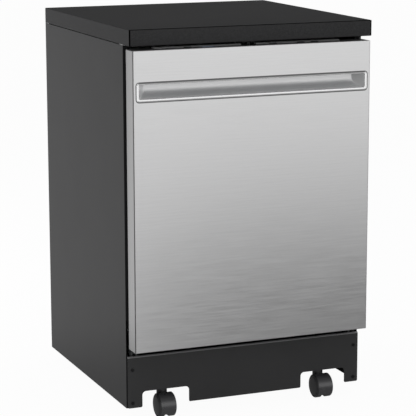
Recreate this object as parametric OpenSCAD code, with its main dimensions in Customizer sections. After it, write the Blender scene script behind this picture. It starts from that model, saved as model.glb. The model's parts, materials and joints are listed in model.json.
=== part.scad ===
// Portable dishwasher on wheels. Millimetres, +Z up, door towards -Y, floor at z = 0.

/* [Cabinet] */
// Width of the worktop
worktop_w = 603; // [590:1:620]
// Depth of the worktop
worktop_d = 626; // [610:1:636]
// Thickness of the worktop
worktop_t = 37; // [20:1:50]
// Height of the worktop's underside above the floor
cabinet_h = 881; // [876:1:920]
// Depth from the door's face to the rear panel
overall_d = 639; // [636:1:680]
// How far the worktop stands out past each side panel
worktop_overhang = 2.5; // [0.5:0.5:6]
// Height of the side panels' lower edges above the floor
side_bottom_z = 30; // [20:1:45]
// Thickness of the sheet steel
sheet_t = 1; // [0.6:0.1:1.2]
// Gap between the side panels' upper edges and the worktop
top_reveal = 2.2; // [2.1:0.1:4]
// Width of the folded edges of the side panels
panel_return = 17; // [12:1:20]
// Distance from the door's face back to the side panels' front edges
side_setback = 56.5; // [54:0.5:60]

/* [Door] */
// Distance from each side panel's outer face in to the door's side
door_side_inset = 3.3; // [2.5:0.1:6]
// Height of the door's lower edge above the floor
door_bottom_z = 176.2; // [172:1:178]
// Gap between the door's top and the worktop
door_gap = 10.6; // [8:0.2:14]
// Depth of the stainless sides of the door
door_side_d = 44.5; // [38:0.5:46]
// How far the handle's rim stands out of the door's face
rim_proud = 0.5; // [0.2:0.1:1.5]
// Distance from the door's face back to the hinge axis
hinge_setback = 57.5; // [57:0.1:58]
// Height of the hinge axis above the floor
hinge_z = 163; // [162:0.5:164]
// Radius of the hinge pins
hinge_pin_r = 4; // [3:0.5:5]
// How far the inner door reaches into the tub, behind the hinge axis
inner_door_reach = 22; // [16:1:23]
// Distance from the inner door's tray to the tub's walls
inner_door_gap = 15; // [13:1:24]
// Thickness of the hinge arms
hinge_arm_t = 3; // [2:0.5:4]
// Length of the spring lever behind the hinge axis
spring_lever = 35; // [25:1:36]

/* [Handle] */
// Distance from the door's side to the handle's rim
handle_side_gap = 8.2; // [6:0.1:40]
// Height of the handle's rim
handle_h = 43.5; // [40:0.5:60]
// Distance from the worktop's underside down to the handle's lower edge
handle_drop = 125.5; // [116:0.5:181]
// Width of the rim's border
handle_border = 6.5; // [4:0.5:9]
// Depth of the scoop behind the door's face
scoop_depth = 31; // [20:1:34]
// Slant of the scoop's two ends
scoop_slant = 22; // [10:1:30]
// Wall of the scoop
scoop_wall = 2; // [1.2:0.1:3]

/* [Controls] */
// Height of the control strip in the door's top
strip_h = 31; // [24:1:36]
// Wall of the control strip
strip_wall = 2; // [1.5:0.1:3]
// Length of each push button
button_l = 16; // [10:1:20]
// Depth of each push button
button_d = 9; // [6:0.5:12]
// How far the buttons stand out of the strip
button_proud = 1.6; // [1.2:0.1:2.5]
// Travel of the buttons
button_travel = 1; // [0.5:0.1:1.1]
// Gap round each button
button_gap = 0.4; // [0.3:0.1:0.8]
// Place of the power button across the door
power_x = -153; // [-180:1:-140]
// Place of the cycle button across the door
cycle_x = 59; // [55:1:80]
// Place of the option button across the door
option_x = 129; // [110:1:135]
// Place of the start button across the door
start_x = 164; // [160:1:220]
// Width of the display
display_w = 30; // [20:1:40]
// Place of the display across the door
display_x = -104; // [-115:1:-90]

/* [Toe kick] */
// Height of the toe kick's upper edge above the floor
kick_top_z = 155.5; // [150:0.5:155.5]
// Height of the toe kick's lower edge above the floor
kick_bottom_z = 31; // [25:1:45]
// Distance from the door's face back to the toe kick
kick_setback = 49.2; // [48.5:0.1:49.3]
// Radius of the screw heads
screw_head_r = 4; // [3:0.5:5]
// Radius of the screws' shanks
screw_r = 2; // [1.5:0.1:2.5]
// Height of the toe kick's lower screws above the floor
kick_screw_low_z = 43; // [40:1:60]
// Height of the toe kick's upper screws above the floor
kick_screw_high_z = 123; // [110:1:140]

/* [Casters] */
// Distance from each side panel's outer face in to the caster stems
caster_side_inset = 95.5; // [94:0.5:99]
// Distance from the door's face and from the rear panel to the caster stems
caster_end_inset = 77.5; // [76:0.5:80]
// Radius of the caster wheels
wheel_r = 28; // [24:0.5:29]
// Width over the two wheels of a caster
caster_w = 45; // [42:1:50]
// Distance from the stem's axis to the wheels' axle
caster_trail = 20; // [15:1:24]
// Width of the web between the two wheels
caster_web = 13.4; // [9:0.1:14]
// Radius of the wheels' axle
axle_r = 4; // [3:0.5:5]
// Radius of the caster stems
stem_r = 5.5; // [4:0.5:6]
// Radius of the caster's neck
neck_r = 12.5; // [11:0.5:14]
// Height of the base frame's underside above the floor
frame_z = 71; // [71:1:76]
// Height of the base frame's rails
frame_h = 29; // [24:1:29]
// Width of the base frame's rails
frame_w = 40; // [30:1:44]
// Wall of the base frame's rails
frame_wall = 2; // [1.5:0.1:3]

/* [Tub] */
// Distance from each side panel's outer face in to the tub
tub_side_gap = 29; // [28:0.5:31]
// Height of the tub's floor above the base of the cabinet
tub_floor_z = 190; // [188:1:192]
// Distance from the worktop's underside down to the tub's ceiling
tub_top_gap = 31; // [29:1:41]
// Distance from the rear panel to the tub's inner back
rear_space = 49.5; // [46:0.5:60]
// Wall of the tub
tub_wall = 1.5; // [0.8:0.1:2]
// Width of the tub's front flange
flange_w = 14; // [10:1:14]
// Radius of the tub's edges
tub_round = 16; // [8:1:24]
// Thickness of the sound blanket
blanket_t = 10; // [6:1:12]
// Thickness of the door's insulation
insulation_t = 25; // [10:1:26]
// Distance from the door's sides to its insulation
insulation_inset = 30; // [24:1:60]

/* [Racks] */
// Thickness of the rack wires
wire = 4; // [3:0.5:5]
// Distance from the tub's side to the racks
rack_side_gap = 34; // [33:0.5:38]
// Distance from the inner door to the racks' fronts
rack_gap = 25; // [24:1:30]
// Distance from the racks' backs to the tub's back
rack_back_gap = 25; // [24:1:40]
// Height of the lower rack's underside above the tub's floor
lower_rack_lift = 52; // [50:1:60]
// Height of the lower rack's walls
lower_rack_h = 118; // [90:1:130]
// Height of the upper rack's underside above the tub's floor
upper_rack_lift = 362; // [350:1:370]
// Height of the upper rack's walls
upper_rack_h = 108; // [80:1:120]
// Number of openings across the racks
rack_cells_x = 12; // [6:1:16]
// Number of openings along the racks
rack_cells_y = 11; // [6:1:16]
// Radius of the lower rack's wheels
rack_wheel_r = 17.7; // [14:0.1:17.9]
// Width of the lower rack's wheels
rack_wheel_w = 10; // [8:1:11]
// Distance from the racks' fronts to the front wheels
rack_wheel_inset = 112; // [110:1:130]
// Distance from the racks' backs to the rear wheels
rack_wheel_back_inset = 58; // [50:1:80]
// Length of the cutlery basket
basket_w = 240; // [180:1:260]
// Depth of the cutlery basket
basket_d = 72; // [60:1:80]
// Height of the cutlery basket without its handle
basket_h = 120; // [90:1:130]
// Wall of the cutlery basket
basket_wall = 2; // [1.5:0.1:3]

/* [Washing] */
// Radius of the sump
sump_r = 85; // [84:1:90]
// Depth of the sump below the tub's floor
sump_h = 55; // [50:1:60]
// Wall of the sump
sump_wall = 2.5; // [2:0.1:3.5]
// Radius of the filter cup
filter_r = 33; // [28:0.5:34]
// Distance from the lower spray arm's tips to the tub's back
lower_arm_gap = 18; // [16:1:30]
// Distance from the upper spray arm's tips to the tub's back
upper_arm_gap = 55; // [46:1:70]
// Width of the spray arms
arm_w = 44; // [30:1:50]
// Thickness of the spray arms
arm_t = 12; // [8:1:13]
// Radius of the spray arms' spigots
spigot_r = 9; // [7:0.5:10]
// Distance from the heater's ring to the tub's back
heater_gap = 50; // [46:1:80]
// Radius of the heater's tube
heater_tube_r = 4; // [3:0.5:5]
// Height of the heater's ring above the tub's floor
heater_lift = 12; // [10:1:14]
// Length of the heater's ends below the tub's floor
heater_end_l = 22; // [16:1:30]
// Radius of the float's dome
float_r = 22; // [16:1:24]
// Radius of the float's stem
float_stem_r = 4; // [3:0.5:5]
// Lift of the float
float_lift = 10; // [6:1:12]
// Radius of the wash pump's motor
wash_pump_r = 34; // [28:1:35]
// Distance from the wash pump's motor to the base frame's outside
wash_motor_gap = 43; // [40:1:70]
// Radius of the drain pump's motor
drain_pump_r = 24; // [18:1:28]
// Length of the drain pump's motor
drain_motor_l = 60; // [45:1:80]
// Width of the rear recess for the hoses
recess_w = 200; // [180:1:220]
// Height of the rear recess for the hoses
recess_h = 66; // [56:1:66]
// Depth of the rear recess for the hoses
recess_d = 53; // [40:1:54]

/* [Hidden] */
$fn = 48;
eps = 0.01;

// Named clearances
touch_gap = 0.3;      // between faces that pass or nearly touch
weld_gap = 0.05;      // between parts of one node that are welded edge to edge
run_gap = 0.06;       // radial, of a shaft in its bore
screw_gap = 0.1;      // radial, of a screw in its hole
slip_gap = 0.5;       // round pieces that drop into a cut-out

// Outer planes
front_y = -overall_d / 2;
rear_y = overall_d / 2;
skin_y = front_y + rim_proud;
side_x = worktop_w / 2 - worktop_overhang;
side_y = front_y + side_setback;
kick_y = front_y + kick_setback;
door_x = side_x - door_side_inset;
handle_w = 2 * (door_x - handle_side_gap);
door_top_z = cabinet_h - door_gap;
handle_z = cabinet_h - handle_drop;
tub_top_z = cabinet_h - tub_top_gap;
door_side_y = front_y + door_side_d;

// Tub and hinge
axis_y = front_y + hinge_setback;
tub_x = side_x - tub_side_gap;
tub_flange_y = side_y + 5;
tub_back_y = rear_y - rear_space;
flange_x = tub_x + flange_w;
seal_t = tub_flange_y - axis_y + 1.2;
seal_w = flange_w - 4;
seal_y = tub_flange_y - seal_t;
inner_sheet_y = seal_y - touch_gap;
inner_face_y = axis_y + inner_door_reach;
inner_x = tub_x - inner_door_gap;
inner_low_z = tub_floor_z + 6;
inner_high_z = tub_top_z - 12;
inner_flange_x = tub_x + flange_w + 1.5;
arm_x = inner_flange_x + slip_gap;
arm_eye_r = hinge_pin_r + 3.5;

// Handle
pocket_top_z = handle_z + handle_h - handle_border + 2.5;
pocket_low_z = handle_z + handle_border - 1;
pocket_x = handle_w / 2 - handle_border;
pocket_back_y = front_y + scoop_depth;
scoop_steps = 10;
insulation_end = 12;

// Control strip
strip_low_z = door_top_z - strip_h;
strip_front_y = skin_y + sheet_t + 0.2;
strip_back_y = inner_sheet_y - sheet_t - 0.2;
strip_x = door_x - sheet_t - 0.2;
button_y = skin_y + 28;
button_head = 3;
latch_x = 20;
latch_d = 24;
latch_low_z = strip_low_z - 34;
latch_back_y = strip_back_y - 3;
hook_t = 8;
hook_pin_r = 2.5;
hook_y = latch_back_y - latch_d / 2;
hook_z = door_top_z - 14;
strike_gap = 1;
strike_t = 3;
board_t = 1.6;

// Dispenser
dispenser_x = 60;
dispenser_z = 470;
dispenser_w = 190;
dispenser_h = 130;
dispenser_proud = 4;
dispenser_d = 20;
cup_w = 64;
cup_h = 50;
cup_x = dispenser_x + 48;
cup_z = dispenser_z - 12;
lid_t = 2;
cap_r = 17;
cap_x = dispenser_x - 50;
cap_z = dispenser_z + 40;

// Casters
wheel_gap = 0.4;
hood_r = wheel_r + 0.6;
hood_notch_z = wheel_r - 18;
stem_top_z = frame_z + frame_h - frame_wall - 1;
socket_wall = 3;
neck_top_z = frame_z - 1;
dome = 2.2;
ringed = 1.4;
caster_x = side_x - caster_side_inset;
caster_y = overall_d / 2 - caster_end_inset;
tread_round = 2.6;

// Base frame
frame_x = tub_x + 8;
frame_front_y = -caster_y - frame_w / 2;
frame_back_y = caster_y + frame_w / 2;
frame_top_z = frame_z + frame_h;
frame_side_w = frame_w - 10;
bracket_x = flange_x - 7;
bracket_t = 4;
spring_r = 5.5;
spring_x = arm_x + hinge_arm_t / 2;
spring_y = axis_y + spring_lever;
spring_low_z = frame_z + 14;
spring_high_z = hinge_z - 6;
tab_t = 3;

// Washing
tub_mid_y = (tub_flange_y + tub_back_y) / 2;
sump_y = tub_mid_y - 16;
post_y = tub_mid_y + 34;
lower_arm_r = tub_back_y - lower_arm_gap - post_y;
heater_y = post_y - 5;
heater_r = tub_back_y - heater_gap - heater_y;
cup_y = sump_y - 45;
post_r = spigot_r + 5;
sump_low_z = tub_floor_z - tub_wall - sump_h;
sump_floor_hole_r = sump_r - 3;
plate_t = 1.2;
plate_r = sump_r + 18;
post_top_z = tub_floor_z + 24;
arm_hub_h = 24;
lower_arm_z = post_top_z + 1;
spigot_top_z = lower_arm_z + arm_hub_h - 3;
cup_low_z = sump_low_z + sump_wall + 8;
cup_top_z = tub_floor_z + 8;
pump_z = sump_low_z + 20;
stub_r = 14;
stub_end = sump_r + 12;
volute_t = 28;
wash_motor_l = frame_x - wash_motor_gap - stub_end - volute_t;
float_x = tub_x - 80;
float_y = inner_face_y + 75;
float_z = tub_floor_z + 8;
float_stem_l = 24 + float_lift;
switch_h = 26;
tube_t = 12;
tube_w = 46;
tube_low_z = tub_floor_z + 12;
feed_port_z = tube_low_z + 30;
tube_y = tub_back_y - touch_gap - tube_t;

// Racks
rack_x = tub_x - rack_side_gap;
rack_y = inner_face_y + rack_gap;
rack_back_y = tub_back_y - rack_back_gap;
lower_z = tub_floor_z + lower_rack_lift;
upper_z = tub_floor_z + upper_rack_lift;
rack_axle_z = tub_floor_z + touch_gap + rack_wheel_r;
rack_axle_r = 3;
rack_axle_front_y = rack_y + rack_wheel_inset;
rack_axle_rear_y = rack_back_y - rack_wheel_back_inset;
rack_wheel_x = rack_x + 2;
tine_h = 80;
tine_count = 11;
slide_z = upper_z + 26;
slide_h = 24;
slide_x = rack_x + 1;
slide_t = 8;
rail_wall = 1.5;
manifold_w = 24;
manifold_h = 13;
manifold_z = upper_z - manifold_h - 2;
upper_arm_y = tub_mid_y + 9;
upper_arm_r = tub_back_y - upper_arm_gap - upper_arm_y;
tine_rows_y = [60, 150, 240];
upper_tine_y = 110;
upper_arm_z = manifold_z - arm_hub_h + 2;
basket_low_z = lower_z + wire + slip_gap;
basket_front_y = rack_y + wire + 8;
basket_cells = 6;
basket_handle_h = 70;

// Rear recess
recess_x = side_x - 159;
recess_low_z = frame_top_z + 5;
recess_y = rear_y - sheet_t - recess_d;
recess_wall = 1.5;
gland_x = recess_x + recess_w / 2 - 40;
coupling_x = [recess_x - recess_w / 2 + 40, recess_x - recess_w / 2 + 90];
coupling_r = [9, 11];
port_z = recess_low_z + recess_h / 2;
rear_low_z = 60;
rear_screw_z = [rear_low_z + 30, (rear_low_z + cabinet_h) / 2, cabinet_h - 31];
pan_wall = 1.5;
pan_h = 16;

// ---- Helpers ----

// Points of a rectangle with round corners
function round_rect(x0, y0, x1, y1, r, n = 4) = [
    for (c = [[x1 - r, y1 - r, 0], [x0 + r, y1 - r, 90], [x0 + r, y0 + r, 180], [x1 - r, y0 + r, 270]])
        for (i = [0:n]) [c[0] + r * cos(c[2] + 90 * i / n), c[1] + r * sin(c[2] + 90 * i / n)]];

// A solid box between two corners
module block(lo, hi) {
    translate(lo) cube(hi - lo);
}

// Extrude an outline drawn in x and z along y
module along_y(y0, y1) {
    translate([0, y1, 0]) rotate([90, 0, 0]) linear_extrude(y1 - y0) children();
}

// Extrude an outline drawn in y and z along x
module along_x(x0, x1) {
    translate([x0, 0, 0]) rotate([90, 0, 90]) linear_extrude(x1 - x0) children();
}

// Extrude an outline drawn in x and y along z
module along_z(z0, z1) {
    translate([0, 0, z0]) linear_extrude(z1 - z0) children();
}

// A round bar along x
module bar_x(x0, x1, y, z, r) {
    translate([x0, y, z]) rotate([0, 90, 0]) cylinder(h = x1 - x0, r = r);
}

// A round bar along y
module bar_y(y0, y1, x, z, r) {
    translate([x, y1, z]) rotate([90, 0, 0]) cylinder(h = y1 - y0, r = r);
}

// A round bar along z
module bar_z(z0, z1, x, y, r) {
    translate([x, y, z0]) cylinder(h = z1 - z0, r = r);
}

// Both sides of the object
module both() {
    children();
    mirror([1, 0, 0]) children();
}

// Flat grid of square wires, a rectangle with nx by ny openings
module wire_grid(x0, y0, x1, y1, nx, ny) {
    cw = (x1 - x0 - wire) / nx;
    ch = (y1 - y0 - wire) / ny;
    cells = [for (i = [0:nx - 1]) for (j = [0:ny - 1]) [x0 + i * cw, y0 + j * ch]];
    corners = [for (c = cells) for (p = [[wire, wire], [wire, ch], [cw, ch], [cw, wire]]) c + p];
    points = concat([[x0, y0], [x1, y0], [x1, y1], [x0, y1]], corners);
    holes = [for (k = [0:len(cells) - 1]) [for (m = [0:3]) 4 + 4 * k + m]];
    polygon(points, concat([[0, 1, 2, 3]], holes));
}

// ---- Cabinet ----

module worktop() {
    color("dimgray")
        along_z(cabinet_h, cabinet_h + worktop_t)
            polygon(round_rect(-worktop_w / 2, -worktop_d / 2, worktop_w / 2, worktop_d / 2, 2));
}

module worktop_brackets() {
    bracket_w = 22;
    bracket_leg = 25;
    bracket_sheet = 2;
    bracket_tab = 5;
    color("lightgray") both()
        for (y = [side_y + sheet_t + 1, rear_y - sheet_t * 2 - bracket_w - 1]) {
            block([side_x - sheet_t - bracket_sheet, y, cabinet_h - bracket_leg],
                [side_x - sheet_t, y + bracket_w, cabinet_h]);
            block([side_x - sheet_t - bracket_w + 6, y, cabinet_h - bracket_sheet],
                [side_x - sheet_t - eps, y + bracket_w, cabinet_h]);
            // the front brackets' upper legs reach out over the panels' folded edges
            if (y < 0)
                block([side_x - sheet_t - bracket_w + 6, side_y - bracket_tab, cabinet_h - bracket_sheet],
                    [side_x - sheet_t - 1, y + eps, cabinet_h]);
        }
}

// Right-hand side panel: a sheet with its front and rear edges folded inwards
module side_panel() {
    notch_z = [hinge_z - 15, hinge_z + 77];
    back = rear_y - sheet_t;
    difference() {
        along_z(side_bottom_z, cabinet_h - top_reveal)
            polygon([[side_x - panel_return, side_y], [side_x, side_y], [side_x, back],
                [side_x - panel_return, back], [side_x - panel_return, back - sheet_t],
                [side_x - sheet_t, back - sheet_t], [side_x - sheet_t, side_y + sheet_t],
                [side_x - panel_return, side_y + sheet_t]]);
        block([side_x - panel_return - 1, side_y - 1, notch_z[0]],
            [side_x - sheet_t, side_y + sheet_t + 1, notch_z[1]]);
        for (z = [kick_screw_low_z, kick_screw_high_z])
            bar_y(side_y - 1, side_y + sheet_t + 1, kick_screw_x, z, screw_r + screw_gap);
        for (z = rear_screw_z)
            bar_y(back - sheet_t - 1, back + 1, rear_screw_x, z, screw_r + screw_gap);
    }
}

kick_screw_x = side_x - 13;
rear_screw_x = side_x - 9;

module side_panel_left() {
    color("gray") mirror([1, 0, 0]) side_panel();
}

module side_panel_right() {
    color("gray") side_panel();
}

module rear_panel() {
    x0 = recess_x - recess_w / 2;
    x1 = recess_x + recess_w / 2;
    z0 = recess_low_z;
    z1 = recess_low_z + recess_h;
    color("silver") difference() {
        union() {
            block([-side_x, rear_y - sheet_t, rear_low_z], [side_x, rear_y, cabinet_h]);
            block([x0, recess_y, z0], [x1, rear_y - sheet_t - weld_gap, z1]);
        }
        block([x0 + recess_wall, recess_y + recess_wall, z0 + recess_wall],
            [x1 - recess_wall, rear_y + 1, z1 - recess_wall]);
        bar_y(recess_y - 1, recess_y + recess_wall + 1, gland_x, port_z, 10 + slip_gap);
        for (i = [0, 1])
            bar_y(recess_y - 1, recess_y + recess_wall + 1, coupling_x[i], port_z, coupling_r[i] + slip_gap);
        both() for (z = rear_screw_z)
            bar_y(rear_y - sheet_t - 1, rear_y + 1, rear_screw_x, z, screw_r + screw_gap);
    }
}

module base_frame() {
    w = frame_wall;
    color("darkgray") {
        difference() {
            union() {
                difference() {
                    block([-frame_x, frame_front_y, frame_z], [frame_x, frame_back_y, frame_top_z]);
                    block([-frame_x + frame_side_w, frame_front_y + frame_w, frame_z - 1],
                        [frame_x - frame_side_w, frame_back_y - frame_w, frame_top_z + 1]);
                    // the rails are open channels, seen from below
                    difference() {
                        block([-frame_x + w, frame_front_y + w, frame_z - 1],
                            [frame_x - w, frame_back_y - w, frame_top_z - w]);
                        block([-frame_x + frame_side_w - w, frame_front_y + frame_w - w, frame_z - 2],
                            [frame_x - frame_side_w + w, frame_back_y - frame_w + w, frame_top_z]);
                    }
                }
                for (x = [-caster_x, caster_x]) for (y = [-caster_y, caster_y])
                    bar_z(frame_z, frame_top_z, x, y, stem_r + socket_wall);
            }
            for (x = [-caster_x, caster_x]) for (y = [-caster_y, caster_y])
                bar_z(frame_z - 1, stem_top_z + touch_gap, x, y, stem_r + run_gap);
        }
        both() {
            block([bracket_x - bracket_t, axis_y - hinge_pin_r - 0.5, frame_top_z - 12], [bracket_x, axis_y + 22, hinge_z + 9]);
            block([frame_x, axis_y - hinge_pin_r - 0.5, frame_top_z - 12], [bracket_x, axis_y + 22, frame_top_z]);
            block([frame_x, spring_y - 9, spring_low_z - tab_t - 4],
                [spring_x + 7, spring_y + 9, spring_low_z - 4]);
            bar_x(bracket_x - 1, arm_x + hinge_arm_t + 1.5, axis_y, hinge_z, hinge_pin_r);
        }
    }
}

module base_pan() {
    x = frame_x - 6;
    y0 = frame_front_y + 12;
    y1 = frame_back_y - 6;
    color("dimgray") difference() {
        block([-x, y0, frame_top_z], [x, y1, frame_top_z + pan_h]);
        block([-x + pan_wall, y0 + pan_wall, frame_top_z + pan_wall],
            [x - pan_wall, y1 - pan_wall, frame_top_z + pan_h + 1]);
        // notches for the recess and the hinge brackets
        block([recess_x - recess_w / 2 - 2, recess_y - 2, frame_top_z + 4],
            [recess_x + recess_w / 2 + 2, y1 + 1, frame_top_z + pan_h + 1]);
    }
}

kick_x = side_x - 1;
kick_return_inset = 8;
arch_inner_x = caster_x - 58.5;
arch_outer_x = caster_x + 58.5;
arch_top_z = 69;

// Arched cut-out of the toe kick over one caster
module kick_arch() {
    r = 9;
    polygon(concat([[arch_outer_x, 0], [arch_outer_x, arch_top_z - r]],
        [for (i = [0:6]) [arch_outer_x - r + r * cos(15 * i), arch_top_z - r + r * sin(15 * i)]],
        [for (i = [0:6]) [arch_inner_x + r - r * sin(15 * i), arch_top_z - r + r * cos(15 * i)]],
        [[arch_inner_x, 0]]));
}

module toe_kick() {
    band = 3.5;
    color("dimgray") difference() {
        union() {
            along_y(kick_y, kick_y + sheet_t)
                polygon(round_rect(-kick_x, kick_bottom_z, kick_x, kick_top_z, 3));
            block([-kick_x + 3, kick_y, kick_top_z - sheet_t], [kick_x - 3, kick_y + band, kick_top_z]);
            both() block([kick_x - kick_return_inset - sheet_t, kick_y, kick_bottom_z + 3],
                [kick_x - kick_return_inset, side_y, kick_top_z - 3]);
        }
        both() along_y(kick_y - 1, side_y + 1) kick_arch();
        both() for (z = [kick_screw_low_z, kick_screw_high_z])
            bar_y(kick_y - 1, kick_y + sheet_t + 1, kick_screw_x, z, screw_r + screw_gap);
    }
}

module panel_screws() {
    kick_shank = side_y + 6 - kick_y;
    rear_shank = 10;
    head_t = 1.8;
    color("black") both() {
        for (z = [kick_screw_low_z, kick_screw_high_z]) {
            bar_y(kick_y - head_t, kick_y, kick_screw_x, z, screw_head_r);
            bar_y(kick_y - eps, kick_y + kick_shank, kick_screw_x, z, screw_r);
        }
        // the rear screws are countersunk flush into dimples, with their shanks inwards
        for (z = rear_screw_z)
            bar_y(rear_y - rear_shank, rear_y - eps, rear_screw_x, z, screw_r);
    }
}

// ---- Tub ----

module tub_outline(grow) {
    polygon(round_rect(-tub_x - grow, tub_floor_z - grow, tub_x + grow, tub_top_z + grow, tub_round + grow));
}

module tub() {
    y0 = tub_flange_y + tub_wall + weld_gap;
    y1 = tub_back_y - weld_gap;
    color("lightsteelblue") difference() {
        union() {
            // The flange round the mouth, the wrapper and the back, each sheet welded to the next
            along_y(tub_flange_y, tub_flange_y + tub_wall) tub_sheets(flange_w);
            along_y(y0, y1) tub_sheets(tub_wall);
            along_y(tub_back_y, tub_back_y + tub_wall) tub_outline(tub_wall);
        }
        bar_z(tub_floor_z - tub_wall - 1, tub_floor_z + 1, 0, sump_y, sump_floor_hole_r);
        bar_z(tub_floor_z - tub_wall - 1, tub_floor_z + 1, float_x, float_y, float_stem_r + 5);
        for (s = [-1, 1])
            bar_z(tub_floor_z - tub_wall - 1, tub_floor_z + 1, s * heater_leg_x, heater_leg_y, heater_tube_r + slip_gap);
        bar_y(tub_back_y - 1, tub_back_y + tub_wall + 1, 0, feed_port_z, 9 + slip_gap);
    }
}

// A ring of eight pieces round the tub's inside, t thick: four flat ones and four corners
module tub_sheets(t) {
    flat_x = tub_x - tub_round;
    low = tub_floor_z + tub_round;
    high = tub_top_z - tub_round;
    for (z = [[tub_floor_z - t, tub_floor_z], [tub_top_z, tub_top_z + t]])
        polygon([[-flat_x, z[0]], [flat_x, z[0]], [flat_x, z[1]], [-flat_x, z[1]]]);
    for (x = [[-tub_x - t, -tub_x], [tub_x, tub_x + t]])
        polygon([[x[0], low], [x[1], low], [x[1], high], [x[0], high]]);
    for (i = [-1, 1]) for (c = [[low - weld_gap, 1], [high + weld_gap, -1]])
        polygon(concat(
            [for (k = [0:8]) [i * (flat_x + weld_gap + tub_round * sin(k * 11.25)), c[0] - c[1] * tub_round * cos(k * 11.25)]],
            [for (k = [8:-1:0]) [i * (flat_x + weld_gap + (tub_round + t) * sin(k * 11.25)),
                c[0] - c[1] * (tub_round + t) * cos(k * 11.25)]]));
}

module door_seal() {
    color("black") along_y(seal_y, tub_flange_y) difference() {
        tub_outline(seal_w + 1);
        tub_outline(1);
    }
}

module sound_blanket() {
    gap = 1;
    low_z = tub_floor_z + 20;
    color("darkslategray") along_y(tub_flange_y + 8, tub_back_y) difference() {
        translate([-tub_x - tub_wall - gap - blanket_t, low_z])
            square([2 * (tub_x + tub_wall + gap + blanket_t), tub_top_z + tub_wall + gap + blanket_t - low_z]);
        translate([-tub_x - tub_wall - gap, low_z - 1])
            square([2 * (tub_x + tub_wall + gap), tub_top_z + tub_wall + gap - low_z + 1]);
    }
}

module upper_rack_rails() {
    x0 = slide_x + slip_gap;
    x1 = slide_x + slide_t + slip_gap + rail_wall;
    z0 = slide_z - slip_gap - rail_wall;
    z1 = slide_z + slide_h + slip_gap + rail_wall;
    lip = 6;
    color("silver") both() {
        along_y(rack_y + 4, rack_back_y)
            polygon([[x0, z0], [x1, z0], [x1, z1], [x0, z1], [x0, z1 - lip], [x0 + rail_wall, z1 - lip],
                [x0 + rail_wall, z1 - rail_wall], [x1 - rail_wall, z1 - rail_wall],
                [x1 - rail_wall, z0 + rail_wall], [x0 + rail_wall, z0 + rail_wall],
                [x0 + rail_wall, z0 + lip], [x0, z0 + lip]]);
        for (y = [rack_y + 50, rack_back_y - 70])
            block([x1 - eps, y, z0 + 4], [tub_x, y + 20, z1 - 4]);
    }
}

// ---- Washing parts ----

module sump() {
    top = tub_floor_z - tub_wall;
    color("dimgray") difference() {
        union() {
            bar_z(sump_low_z, top, 0, sump_y, sump_r);
            bar_x(0, stub_end, sump_y, pump_z, stub_r);
            bar_x(-stub_end, 0, sump_y, pump_z, stub_r - 3);
        }
        difference() {
            bar_z(sump_low_z + sump_wall, top + 1, 0, sump_y, sump_r - sump_wall);
            bar_z(sump_low_z, top + 1, 0, post_y, post_r);
        }
        bar_x(sump_r - sump_wall - 2, stub_end + 1, sump_y, pump_z, stub_r - 2.5);
        bar_x(-stub_end - 1, -sump_r + sump_wall + 2, sump_y, pump_z, stub_r - 5.5);
        bar_z(sump_low_z + 12, top + 1, 0, post_y, post_r - 3);
    }
    color("dimgray") difference() {
        union() {
            bar_z(top - eps, post_top_z, 0, post_y, post_r);
            bar_z(post_top_z - eps, spigot_top_z, 0, post_y, spigot_r);
        }
        bar_z(top - 1, spigot_top_z - 4, 0, post_y, spigot_r - 2);
        bar_z(top - 1, post_top_z - 3, 0, post_y, post_r - 3);
    }
}

module filter_plate() {
    color("silver") difference() {
        bar_z(tub_floor_z, tub_floor_z + plate_t, 0, sump_y, plate_r);
        bar_z(tub_floor_z - 1, tub_floor_z + plate_t + 1, 0, post_y, post_r + slip_gap);
        bar_z(tub_floor_z - 1, tub_floor_z + plate_t + 1, 0, cup_y, filter_r + slip_gap);
    }
}

module filter_cup() {
    wall = 1.5;
    grip_w = 7;
    color("gray") {
        difference() {
            bar_z(cup_low_z, cup_top_z, 0, cup_y, filter_r);
            bar_z(cup_low_z + wall, cup_top_z + 1, 0, cup_y, filter_r - wall);
        }
        block([-filter_r + 1, cup_y - grip_w / 2, cup_top_z - 6], [filter_r - 1, cup_y + grip_w / 2, cup_top_z + 7]);
    }
}

heater_gap_deg = 8;
heater_leg_x = heater_r * sin(heater_gap_deg);
heater_leg_y = heater_y + heater_r * cos(heater_gap_deg);

module heater() {
    z = tub_floor_z + heater_lift;
    color("darkgray") {
        translate([0, heater_y, z]) rotate([0, 0, 90 + heater_gap_deg])
            rotate_extrude(angle = 360 - 2 * heater_gap_deg, $fn = 72)
                translate([heater_r, 0]) circle(r = heater_tube_r, $fn = 24);
        for (s = [-1, 1]) {
            bar_z(tub_floor_z - heater_end_l, z, s * heater_leg_x, heater_leg_y, heater_tube_r);
            translate([s * heater_leg_x, heater_leg_y, z]) sphere(r = heater_tube_r, $fn = 24);
        }
    }
}

module wash_pump() {
    x0 = stub_end;
    color("gray") {
        bar_x(x0, x0 + volute_t, sump_y, pump_z, wash_pump_r - 2);
        bar_x(x0 + volute_t - eps, x0 + volute_t + wash_motor_l, sump_y, pump_z + 2, wash_pump_r - 8);
        block([x0 + volute_t + 10, sump_y - 22, frame_top_z + pan_wall],
            [x0 + volute_t + wash_motor_l - 10, sump_y + 22, pump_z]);
    }
}

module drain_pump() {
    x0 = -stub_end;
    color("gray") {
        bar_x(x0 - volute_t, x0, sump_y, pump_z, drain_pump_r);
        bar_x(x0 - volute_t - drain_motor_l, x0 - volute_t + eps, sump_y, pump_z, drain_pump_r - 5);
        block([x0 - volute_t - drain_motor_l + 10, sump_y - 16, frame_top_z + pan_wall],
            [x0 - volute_t + eps, sump_y + 16, pump_z]);
    }
}

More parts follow.
